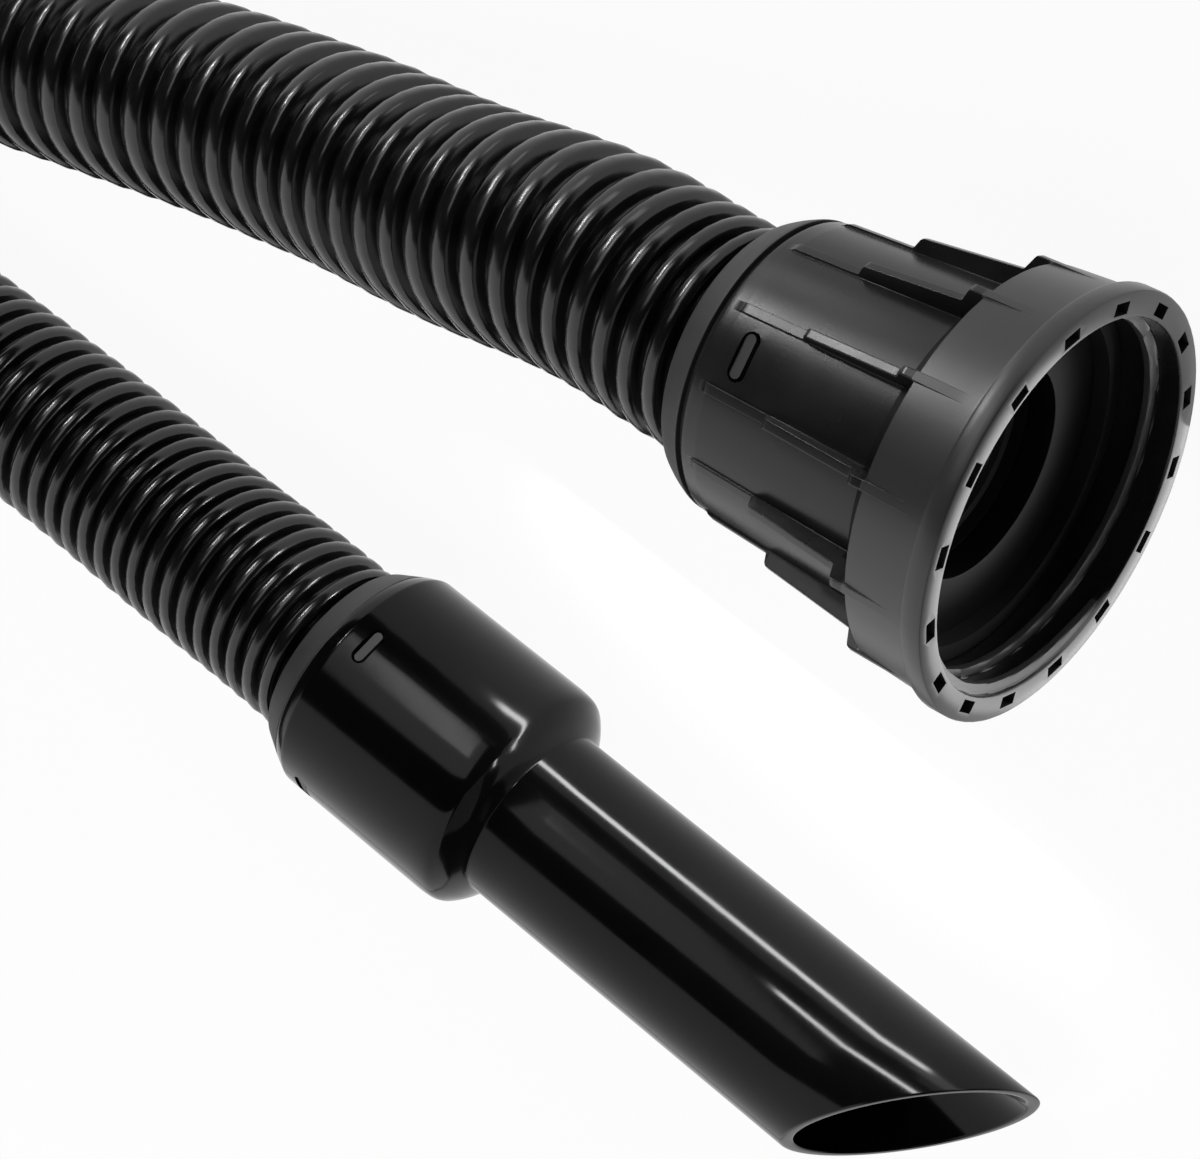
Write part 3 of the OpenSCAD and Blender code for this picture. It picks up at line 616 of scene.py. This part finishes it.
print("tube is", round(slanted_end(TUBE_RADIUS, CUT_TURN) - TUBE_STARTS, 1), "mm long at its longest")

# %% Cuff body
RIM_BACK = 0.5
rim_rows = ((18.93, 0.22), (18.75, 0.06), (18.45, 0), (17.55, 0), (17.25, 0.06), (17.07, 0.22))
tube_share = np.array([0.1, 0.25, 0.4, 0.55, 0.7, 0.85, 1.0])
turn = np.linspace(0, 2 * np.pi, COLUMNS, endpoint=False)


def round_rows(rows):
    """Rows of (radius, station) spread over all angles."""
    return [np.stack([np.full(COLUMNS, r), np.full(COLUMNS, s)]) for r, s in rows]


def tube_rows(radius, start, shares):
    """Rows between a flat start and the slanted end, each at its share of the way."""
    end = slanted_end(radius, turn) - RIM_BACK
    return [np.stack([np.full(COLUMNS, radius), start + (end - start) * t]) for t in shares]


cuff_rows = round_rows(housing_rows) + tube_rows(TUBE_RADIUS, TUBE_STARTS, tube_share)
cuff_rows += [np.stack([np.full(COLUMNS, r), slanted_end(r, turn) - drop]) for r, drop in rim_rows]
cuff_rows += tube_rows(TUBE_BORE, BORE_STARTS, tube_share[::-1]) + round_rows(chamber_rows)
cuff_rows = np.stack(cuff_rows, 0)
cuff = make_piece(
    "cuff_body_shell", to_cuff(cuff_rows[:, 0], turn[None], cuff_rows[:, 1]),
    closed_sheet(len(cuff_rows), COLUMNS), BODY_SHARP,
)
cuts = [
    oblong_solid(to_cuff, t, CUFF_WINDOW_AT, WINDOW_LENGTH, WINDOW_WIDTH, *CUFF_CUT) for t in CUFF_WINDOWS
]
combine(cuff, cuts, "DIFFERENCE", BODY_SHARP)
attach(cuff, "cuff")
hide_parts("cuff_body")

# %% [markdown]
# ## Strap and buckle
# The stored turns are held by a band of webbing with a plastic slide. The band runs once around both
# strands. A Curve with a flat profile could twist on the way round, so the band's section is carried along a
# loop of two half circles and two straights. It gets a UV map in millimetres, along and across, because a
# weave has to follow the band and not the room.

# %% Strap
STRAP_WIDTH, STRAP_THICK, STRAP_RADIUS, STRAP_HEIGHT = 20.0, 1.6, 20.3, -14.1
ROUND_STEPS, STRAIGHT_STEPS, SECTION_STEPS, SECTION_POWER, STRAP_SHARP = 41, 15, 32, 7, 60
near, far = COIL_CENTER[1] + TURN_INNER, COIL_CENTER[1] + TURN_OUTER
half_turn = np.linspace(-np.pi / 2, np.pi / 2, ROUND_STEPS)
straight = np.linspace(0, 1, STRAIGHT_STEPS + 2)[1:-1]
over = np.full(STRAIGHT_STEPS, np.pi / 2)
loop_center = np.concatenate([
    np.full(ROUND_STEPS, far), far + (near - far) * straight,
    np.full(ROUND_STEPS, near), near + (far - near) * straight,
])
loop_out = np.concatenate([half_turn, over, half_turn + np.pi, -over])
section_turn = np.linspace(0, 2 * np.pi, SECTION_STEPS, endpoint=False)


def square_round(turn, width, height, power):
    """Rounded rectangle |2x/w|^p + |2y/h|^p = 1, walked by angle."""
    c, s = np.cos(turn), np.sin(turn)
    x = np.sign(c) * np.abs(c) ** (2 / power) * width / 2
    y = np.sign(s) * np.abs(s) ** (2 / power) * height / 2
    return x, y


across, through = square_round(section_turn, STRAP_WIDTH, STRAP_THICK, SECTION_POWER)
skin_radius = STRAP_RADIUS + STRAP_THICK / 2 + through[None]
strap_points = np.stack([
    np.broadcast_to(COIL_CENTER[0] + across[None], (len(loop_out), SECTION_STEPS)),
    loop_center[:, None] + skin_radius * np.cos(loop_out)[:, None],
    STRAP_HEIGHT + skin_radius * np.sin(loop_out)[:, None],
], -1)
strap = make_piece("storage_strap", strap_points, closed_sheet(len(loop_out), SECTION_STEPS), STRAP_SHARP)

# %% The strap's own millimetres, for its weave
middle = strap_points.mean(1)
middle_steps = np.linalg.norm(np.diff(np.vstack([middle, middle[:1]]), axis=0), axis=1)
strap_way = np.append(0, np.cumsum(middle_steps))
print("strap goes", round(strap_way[-1]), "mm around the two strands")
corner = np.zeros(len(strap.data.loops), int)
strap.data.loops.foreach_get("vertex_index", corner)
row, column = corner // SECTION_STEPS, corner % SECTION_STEPS
quad_row = row.reshape(-1, 4)
wraps = (quad_row.max(1) - quad_row.min(1) > 1)[:, None] & (quad_row == 0)
along_mm = np.where(wraps.ravel(), strap_way[-1], strap_way[row])
weave_map = strap.data.uv_layers.new(name="weave_mm")
weave_map.data.foreach_set("uv", np.column_stack([along_mm, across[column]]).ravel())
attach(strap, "hose")
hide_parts("storage_tie")

# %% Buckle
BUCKLE_LENGTH, BUCKLE_WIDTH, BUCKLE_HEIGHT, BUCKLE_RAIL = 29.4, 27.0, 3.2, 3.0
BUCKLE_ROUNDING, BUCKLE_SHARP = 0.7, 30
opening = (BUCKLE_LENGTH - 3 * BUCKLE_RAIL) / 2
lines_x = np.array([-BUCKLE_WIDTH / 2, BUCKLE_RAIL - BUCKLE_WIDTH / 2])
lines_x = np.append(lines_x, -lines_x[::-1])
lines_y = np.array([-BUCKLE_RAIL / 2 - opening - BUCKLE_RAIL, -BUCKLE_RAIL / 2 - opening, -BUCKLE_RAIL / 2])
lines_y = np.append(lines_y, -lines_y[::-1])
solid_cell = np.ones((3, 5), bool)
solid_cell[1, 1] = solid_cell[1, 3] = False


def plate(name, xs, ys, cell, low, high):
    """Flat plate: every filled cell gets a top and a bottom face, and a wall where its neighbour is empty."""
    nx, ny = len(xs), len(ys)
    grid = np.stack(np.meshgrid(xs, ys, indexing="ij"), -1).reshape(-1, 2)
    points = np.vstack([np.column_stack([grid, np.full(len(grid), z)]) for z in (low, high)])
    i, j = np.nonzero(cell)
    a = i * ny + j
    top = nx * ny
    bottom_faces = np.stack([a, a + 1, a + ny + 1, a + ny], -1)
    faces = [bottom_faces, bottom_faces[:, [0, 3, 2, 1]] + top]
    padded = np.pad(cell, 1)
    for di, dj, p, q in ((-1, 0, 0, 1), (1, 0, ny + 1, ny), (0, -1, ny, 0), (0, 1, 1, ny + 1)):
        bare = ~padded[i + 1 + di, j + 1 + dj]
        p, q = a[bare] + p, a[bare] + q
        faces.append(np.stack([p, p + top, q + top, q], -1))
    faces = np.vstack(faces)
    used, again = np.unique(faces, return_inverse=True)
    return make_piece(name, points[used], again.reshape(faces.shape), BUCKLE_SHARP)


BUCKLE_LOW = STRAP_HEIGHT + STRAP_RADIUS + STRAP_THICK
buckle = plate(
    "strap_buckle", COIL_CENTER[0] + lines_x, (near + far) / 2 + lines_y, solid_cell,
    BUCKLE_LOW, BUCKLE_LOW + BUCKLE_HEIGHT,
)
edge = buckle.modifiers.new("moulded edge", "BEVEL")
edge.width, edge.segments, edge.limit_method = BUCKLE_ROUNDING * MM, 3, "ANGLE"
edge.harden_normals = True
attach(buckle, "hose")
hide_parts("tie_buckle")

# %% [markdown]
# ## The hose's length and thickness
# The hose leaves the connector and runs back into the part, into the cuff. Its length and thickness
# are printed.

# %% Hose facts
print("declared a hose of", round(HOSE_LENGTH), "mm,", 2 * HOSE_RADIUS, "mm thick")

# %% [markdown]
# ## Black plastics
# Black parts differ only in how they shine. A base colour near black, a roughness that wanders a little,
# and a fine bump do more than any colour. A group would hide the settings, so each finish is a small set of
# nodes of its own: noise in the part's own coordinates, spread to a colour, a roughness and a bump.

# %% Finish helper
NOISE_LOW, NOISE_HIGH = 0.35, 0.65


def plastic(name, dark, light, rough, grain, grain_height, specular=0.5, patch=60.0):
    """Principled finish: colour from dark to light and roughness from rough[0] to rough[1] by a slow noise,
    and a bump of grain_height metres by a fine noise of grain cycles a metre."""
    material = bpy.data.materials.new(name)
    material.use_nodes = True
    nodes, links = material.node_tree.nodes, material.node_tree.links
    shader = nodes["Principled BSDF"]
    shader.inputs["Specular IOR Level"].default_value = specular
    place = nodes.new("ShaderNodeTexCoord")
    slow, fine = nodes.new("ShaderNodeTexNoise"), nodes.new("ShaderNodeTexNoise")
    slow.inputs["Scale"].default_value, slow.inputs["Detail"].default_value = patch, 4
    fine.inputs["Scale"].default_value, fine.inputs["Detail"].default_value = grain, 3
    links.new(place.outputs["Object"], slow.inputs["Vector"])
    links.new(place.outputs["Object"], fine.inputs["Vector"])
    ramp = nodes.new("ShaderNodeValToRGB")
    low, high = ramp.color_ramp.elements
    low.position, high.position = NOISE_LOW, NOISE_HIGH
    low.color, high.color = (*dark, 1), (*light, 1)
    links.new(slow.outputs["Fac"], ramp.inputs["Fac"])
    links.new(ramp.outputs["Color"], shader.inputs["Base Color"])
    spread = nodes.new("ShaderNodeMapRange")
    for socket, value in zip(("From Min", "From Max", "To Min", "To Max"), (NOISE_LOW, NOISE_HIGH, *rough)):
        spread.inputs[socket].default_value = value
    links.new(slow.outputs["Fac"], spread.inputs["Value"])
    links.new(spread.outputs["Result"], shader.inputs["Roughness"])
    bump = nodes.new("ShaderNodeBump")
    bump.inputs["Distance"].default_value = grain_height
    links.new(fine.outputs["Fac"], bump.inputs["Height"])
    links.new(bump.outputs["Normal"], shader.inputs["Normal"])
    return material


# %% [markdown]
# ## Three zones of the connector
# The coupling ring and flange are paler and rougher than the body. The throat behind the thread gets a
# painted shade: a darker colour and a weaker reflection, as that deep recess lies in shade. The thread's
# ridges
# get a painted highlight: a paler colour for the light lines they catch. Three materials on one mesh would
# each need faces of their own, with edges that follow the zones. But a zone is only a range of stations and
# radii, so a mask of the two blends the finish towards another one.

# %% Zone helper
def zone_blend(material, back, radius, light, rough, specular=0.5, side="GREATER_THAN"):
    """Mask = (y < back) * (sqrt(x^2 + z^2) > radius), or < radius for an inside, in metres from the flange's
    face and the connector's axis. Colour, roughness and specular = first + mask * (second - first)."""
    nodes, links = material.node_tree.nodes, material.node_tree.links
    shader = nodes["Principled BSDF"]
    place, split, flat, length = (nodes.new("ShaderNode" + kind) for kind in (
        "TexCoord", "SeparateXYZ", "CombineXYZ", "VectorMath"))
    length.operation = "LENGTH"
    links.new(place.outputs["Object"], split.inputs[0])
    links.new(split.outputs["X"], flat.inputs["X"])
    links.new(split.outputs["Z"], flat.inputs["Z"])
    links.new(flat.outputs[0], length.inputs[0])
    before, outside, mask = (nodes.new("ShaderNodeMath") for _ in range(3))
    before.operation, outside.operation, mask.operation = "LESS_THAN", side, "MULTIPLY"
    links.new(split.outputs["Y"], before.inputs[0])
    links.new(length.outputs["Value"], outside.inputs[0])
    before.inputs[1].default_value, outside.inputs[1].default_value = back, radius
    links.new(before.outputs[0], mask.inputs[0])
    links.new(outside.outputs[0], mask.inputs[1])
    blended = (
        ("Base Color", "RGBA", (*light, 1)), ("Roughness", "FLOAT", rough),
        ("Specular IOR Level", "FLOAT", specular),
    )
    for socket, kind, value in blended:
        mix = nodes.new("ShaderNodeMix")
        mix.data_type = kind
        factor, first, second = [i for i in mix.inputs if i.enabled]
        result = next(o for o in mix.outputs if o.enabled)
        links.new(mask.outputs[0], factor)
        first.default_value = shader.inputs[socket].default_value
        for link in shader.inputs[socket].links:
            links.new(link.from_socket, first)
        second.default_value = value
        links.new(result, shader.inputs[socket])


# %% Dressing
def dress(thing, material):
    """Gives a piece or a carried-over node one finish."""
    thing.data.materials.clear()
    thing.data.materials.append(material)
    for slot in thing.material_slots:
        slot.material = material


# %% Finishes of the moulded pieces
hose_plastic = plastic(
    "extruded_hose_plastic", (0.0022, 0.0022, 0.0023), (0.0035, 0.0035, 0.0037), (0.17, 0.24), 300, 0.00002,
    patch=300
)
satin_plastic = plastic(
    "satin_connector_plastic", (0.0085, 0.0085, 0.0087), (0.0115, 0.0115, 0.0118), (0.25, 0.30), 2600,
    0.000008, specular=0.33, patch=90
)
matte_plastic = plastic(
    "matte_ring_plastic", (0.025, 0.025, 0.025), (0.031, 0.031, 0.031), (0.50, 0.60), 3000, 0.00003, patch=120
)
gloss_plastic = plastic(
    "gloss_cuff_plastic", (0.0012, 0.0012, 0.0012), (0.0018, 0.0018, 0.0018), (0.10, 0.15), 260,
    0.00001, specular=0.17, patch=40
)
sleeve_plastic = plastic(
    "grey_sleeve_plastic", (0.045, 0.045, 0.047), (0.055, 0.055, 0.057), (0.40, 0.50), 2400, 0.00004
)
seal_rubber = plastic(
    "black_seal_rubber", (0.007, 0.007, 0.007), (0.011, 0.011, 0.011), (0.55, 0.68), 1500, 0.00005,
    specular=0.3
)
buckle_plastic = plastic(
    "moulded_buckle_plastic", (0.014, 0.014, 0.014), (0.02, 0.02, 0.02), (0.34, 0.44), 2200, 0.00004
)
moulded = [m.name for m in bpy.data.materials if m.name.endswith(("plastic", "rubber"))]
print("finishes made:", ", ".join(moulded))

# %% Zones of the connector: back and radius of each, in metres
pale_rough_ring, painted_throat_shade, painted_thread_highlight = (0.0158, 0.0318), (0.0195, 0.0295), (0.0142, 0.0311)
# The coupling ring and flange get a paler colour and a rougher finish.
zone_blend(satin_plastic, *pale_rough_ring, (0.026, 0.026, 0.0263), 0.34)
# Painted shade: a darker colour and a weaker reflection in the throat, where the recess lies in shade.
zone_blend(satin_plastic, *painted_throat_shade, (0.005, 0.005, 0.0052), 0.45, 0.12, "LESS_THAN")
# Painted highlight: a paler colour on the thread's ridges, for the light lines they catch.
zone_blend(satin_plastic, *painted_thread_highlight, (0.045, 0.045, 0.046), 0.42, 0.5, "LESS_THAN")
print(satin_plastic.name, "has", len(satin_plastic.node_tree.nodes), "nodes")

# %% Every piece gets its finish
dress(hose, hose_plastic)
dress(connector, satin_plastic)
dress(connector_ring, matte_plastic)
dress(cuff_ring, matte_plastic)
dress(cuff, gloss_plastic)
dress(buckle, buckle_plastic)
for node in ("connector_hose_sleeve", "cuff_hose_sleeve"):
    dress(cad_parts[node], sleeve_plastic)
for node in ("connector_swivel_seal", "cuff_swivel_seal", "connector_gasket"):
    dress(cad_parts[node], seal_rubber)

# %% [markdown]
# ## Webbing
# A strap is woven: warp threads run along it and pass over and under the weft, which shows as small
# slanted lozenges. Each thread could be modelled, but a bump is enough for a band 20 mm wide. Two slanted
# waves in the strap's own millimetres, multiplied, make the threads' height, and the low places also get
# darker, as they lie in shade.

# %% Webbing finish
WEAVE_ALONG, WEAVE_ACROSS, WEAVE_HEIGHT = 2.4, 1.6, 0.0004


def webbing(name):
    """Height = (1 + sin(along + across) * sin(along - across)) / 2, which colour and bump follow."""
    material = bpy.data.materials.new(name)
    material.use_nodes = True
    nodes, links = material.node_tree.nodes, material.node_tree.links
    shader = nodes["Principled BSDF"]
    shader.inputs["Roughness"].default_value = 0.75
    shader.inputs["Specular IOR Level"].default_value = 0.3
    shader.inputs["Sheen Weight"].default_value = 0.15
    uv = nodes.new("ShaderNodeUVMap")
    uv.uv_map = "weave_mm"
    split = nodes.new("ShaderNodeSeparateXYZ")
    links.new(uv.outputs["UV"], split.inputs["Vector"])

    def math(operation, a, b=None):
        node = nodes.new("ShaderNodeMath")
        node.operation = operation
        for socket, value in zip(node.inputs, (a, b)):
            if isinstance(value, (int, float)):
                socket.default_value = value
            elif value is not None:
                links.new(value, socket)
        return node.outputs[0]

    along = math("MULTIPLY", split.outputs["X"], 2 * np.pi / WEAVE_ALONG)
    across = math("MULTIPLY", split.outputs["Y"], 2 * np.pi / WEAVE_ACROSS)
    rising = math("SINE", math("ADD", along, across))
    falling = math("SINE", math("SUBTRACT", along, across))
    lozenge = math("MULTIPLY", rising, falling)
    height = math("MULTIPLY_ADD", lozenge, 0.5)
    height.node.inputs[2].default_value = 0.5
    ramp = nodes.new("ShaderNodeValToRGB")
    ramp.color_ramp.elements[0].color = (0.006, 0.006, 0.007, 1)
    ramp.color_ramp.elements[1].color = (0.024, 0.024, 0.026, 1)
    links.new(height, ramp.inputs["Fac"])
    links.new(ramp.outputs["Color"], shader.inputs["Base Color"])
    bump = nodes.new("ShaderNodeBump")
    bump.inputs["Distance"].default_value = WEAVE_HEIGHT
    links.new(height, bump.inputs["Height"])
    links.new(bump.outputs["Normal"], shader.inputs["Normal"])
    return material


dress(strap, webbing("black_webbing"))
print("strap is", round(STRAP_WIDTH / WEAVE_ACROSS), "threads wide")

# %% [markdown]
# ## Floor
# The part lies on plain white paper. Paper that is lit until it looks white would throw too much light up
# at black parts. So rays from the lens, and rays off or through a glossy face, find the floor mostly glowing
# at a strength of 1, which is white. All other rays find plain matte paper. A small share of what the lens
# sees is that paper too, so the floor keeps the part's shadow. It reaches far, so that no view shows its end.

# %% Floor
FLOOR_HEIGHT, FLOOR_REACH = -0.036, 60
FLOOR_GLOW, FLOOR_GLOW_SHARE, PAPER_WHITE = 1.0, 0.94, 0.85


def glow_mix(nodes, links, shader, color, glow, keep):
    """Camera, mirror and see-through rays get mostly an even glow; all other rays get the plain shader."""
    path = nodes.new("ShaderNodeLightPath")
    seen = path.outputs["Is Camera Ray"]
    for kind in ("Is Glossy Ray", "Is Transmission Ray"):
        either = nodes.new("ShaderNodeMath")
        either.operation = "MAXIMUM"
        links.new(seen, either.inputs[0])
        links.new(path.outputs[kind], either.inputs[1])
        seen = either.outputs[0]
    share_of_glow = nodes.new("ShaderNodeMath")
    share_of_glow.operation = "MULTIPLY"
    share_of_glow.inputs[1].default_value = keep
    links.new(seen, share_of_glow.inputs[0])
    emission = nodes.new("ShaderNodeEmission")
    emission.inputs["Color"].default_value = (*color, 1)
    emission.inputs["Strength"].default_value = glow
    mix = nodes.new("ShaderNodeMixShader")
    links.new(share_of_glow.outputs[0], mix.inputs[0])
    links.new(shader, mix.inputs[1])
    links.new(emission.outputs[0], mix.inputs[2])
    return mix.outputs[0]


floor_mesh = bpy.data.meshes.new("studio_floor")
floor_corners = [
    (x * FLOOR_REACH, y * FLOOR_REACH, FLOOR_HEIGHT) for x, y in ((-1, -1), (1, -1), (1, 1), (-1, 1))
]
floor_mesh.from_pydata(floor_corners, [], [(0, 1, 2, 3)])
floor = bpy.data.objects.new("studio_floor", floor_mesh)
bpy.context.collection.objects.link(floor)
floor_white = bpy.data.materials.new("floor_white")
floor_white.use_nodes = True
nodes, links = floor_white.node_tree.nodes, floor_white.node_tree.links
nodes.remove(nodes["Principled BSDF"])
matte = nodes.new("ShaderNodeBsdfDiffuse")
matte.inputs["Color"].default_value = (PAPER_WHITE, PAPER_WHITE, PAPER_WHITE, 1)
surface = glow_mix(nodes, links, matte.outputs[0], (1, 1, 1), FLOOR_GLOW, FLOOR_GLOW_SHARE)
links.new(surface, nodes["Material Output"].inputs["Surface"])
dress(floor, floor_white)
print("floor lies at", FLOOR_HEIGHT / MM, "mm")

# %% [markdown]
# ## Light
# Black gloss shows its surroundings more than itself, so the lamps are placed as things to be mirrored. A
# large panel leans over the hose and gives all upper faces an even grey. Windows and a panel far out along
# +X draw the broad bands on the cuff and the connector, and a strip close by does it for the connector's
# low side. A front panel opens up the flange's face, and a small card on the floor lights the mouth. Two
# thin strips beside the nozzle draw its long bright lines, and two small strong lamps far off leave bright
# dashes on the hose's ribs. Point lamps would be simpler, but their reflections are dots, so all are area
# lamps. Each is aimed by a matrix, as the camera is.

# %% Lamps
def softbox(name, at, towards, width, height, brightness):
    """Area lamp that looks as bright as given: power = brightness * pi * area."""
    data = bpy.data.lights.new(name, "AREA")
    data.shape, data.size, data.size_y = "RECTANGLE", width, height
    data.energy = brightness * np.pi * width * height
    lamp = bpy.data.objects.new(name, data)
    at, towards = np.array(at, float), np.array(towards, float)
    back = (at - towards) / np.linalg.norm(at - towards)
    side = np.cross((0, 0, 1.0) if abs(back[2]) < 0.99 else (0, 1.0, 0), back)
    side /= np.linalg.norm(side)
    up = np.cross(back, side)
    lamp.matrix_world = Matrix([(s, u, b, p) for s, u, b, p in zip(side, up, back, at)] + [(0, 0, 0, 1)])
    lamp.visible_camera = False
    bpy.context.collection.objects.link(lamp)
    print(name, "shines with", round(data.energy, 3), "watts")


softbox("lean_to_panel", (-0.98, 0.7, 0.507), (-0.568, 0.7, -0.404), 2.2, 2.22, 1.2)
softbox("cuff_window", (0.78, 0.31, 0.30), (-0.16, 0.12, 0), 0.08, 0.36, 5)
softbox("cuff_panel", (0.70, 0.28, 0.46), (-0.16, 0.09, 0), 0.36, 0.62, 1.5)
softbox("connector_window", (0.76, 0.67, 0.12), (0, 0.03, 0), 0.30, 0.24, 3)
softbox("connector_strip", (0.11, 0.12, -0.018), (0, 0.02, 0), 0.05, 0.03, 1.6)
softbox("mouth_card", (-0.05, -0.034, -0.0355), (-0.05, -0.034, 0), 0.09, 0.09, 2.2)
softbox("nozzle_strip", (-0.0975, 0.0766, -0.026), (-0.1537, 0.0888, -0.008), 0.124, 0.005, 44)
softbox("nozzle_tip_strip", (-0.1066, 0.0321, 0.0079), (-0.1677, 0.0454, -0.01), 0.050, 0.004, 44)
softbox("front_panel", (-0.25, -0.75, 0.55), (-0.14, 0.1, 0), 0.9, 0.7, 0.45)
softbox("crest_lamp_low", (0.76, 0.70, 0.16), (-0.07, 0.15, 0), 0.06, 0.06, 115)
softbox("crest_lamp_high", (0.73, 0.68, 0.29), (-0.07, 0.15, 0), 0.06, 0.06, 115)

# %% World light
ROOM_GREY = 0.04
world = bpy.data.worlds.new("studio_world")
world.use_nodes = True
room = world.node_tree.nodes["Background"]
room.inputs["Color"].default_value = (ROOM_GREY, ROOM_GREY, ROOM_GREY, 1)
bpy.context.scene.world = world
bpy.context.scene.view_settings.view_transform = "Standard"
print("the room behind the lamps has a grey of", ROOM_GREY)
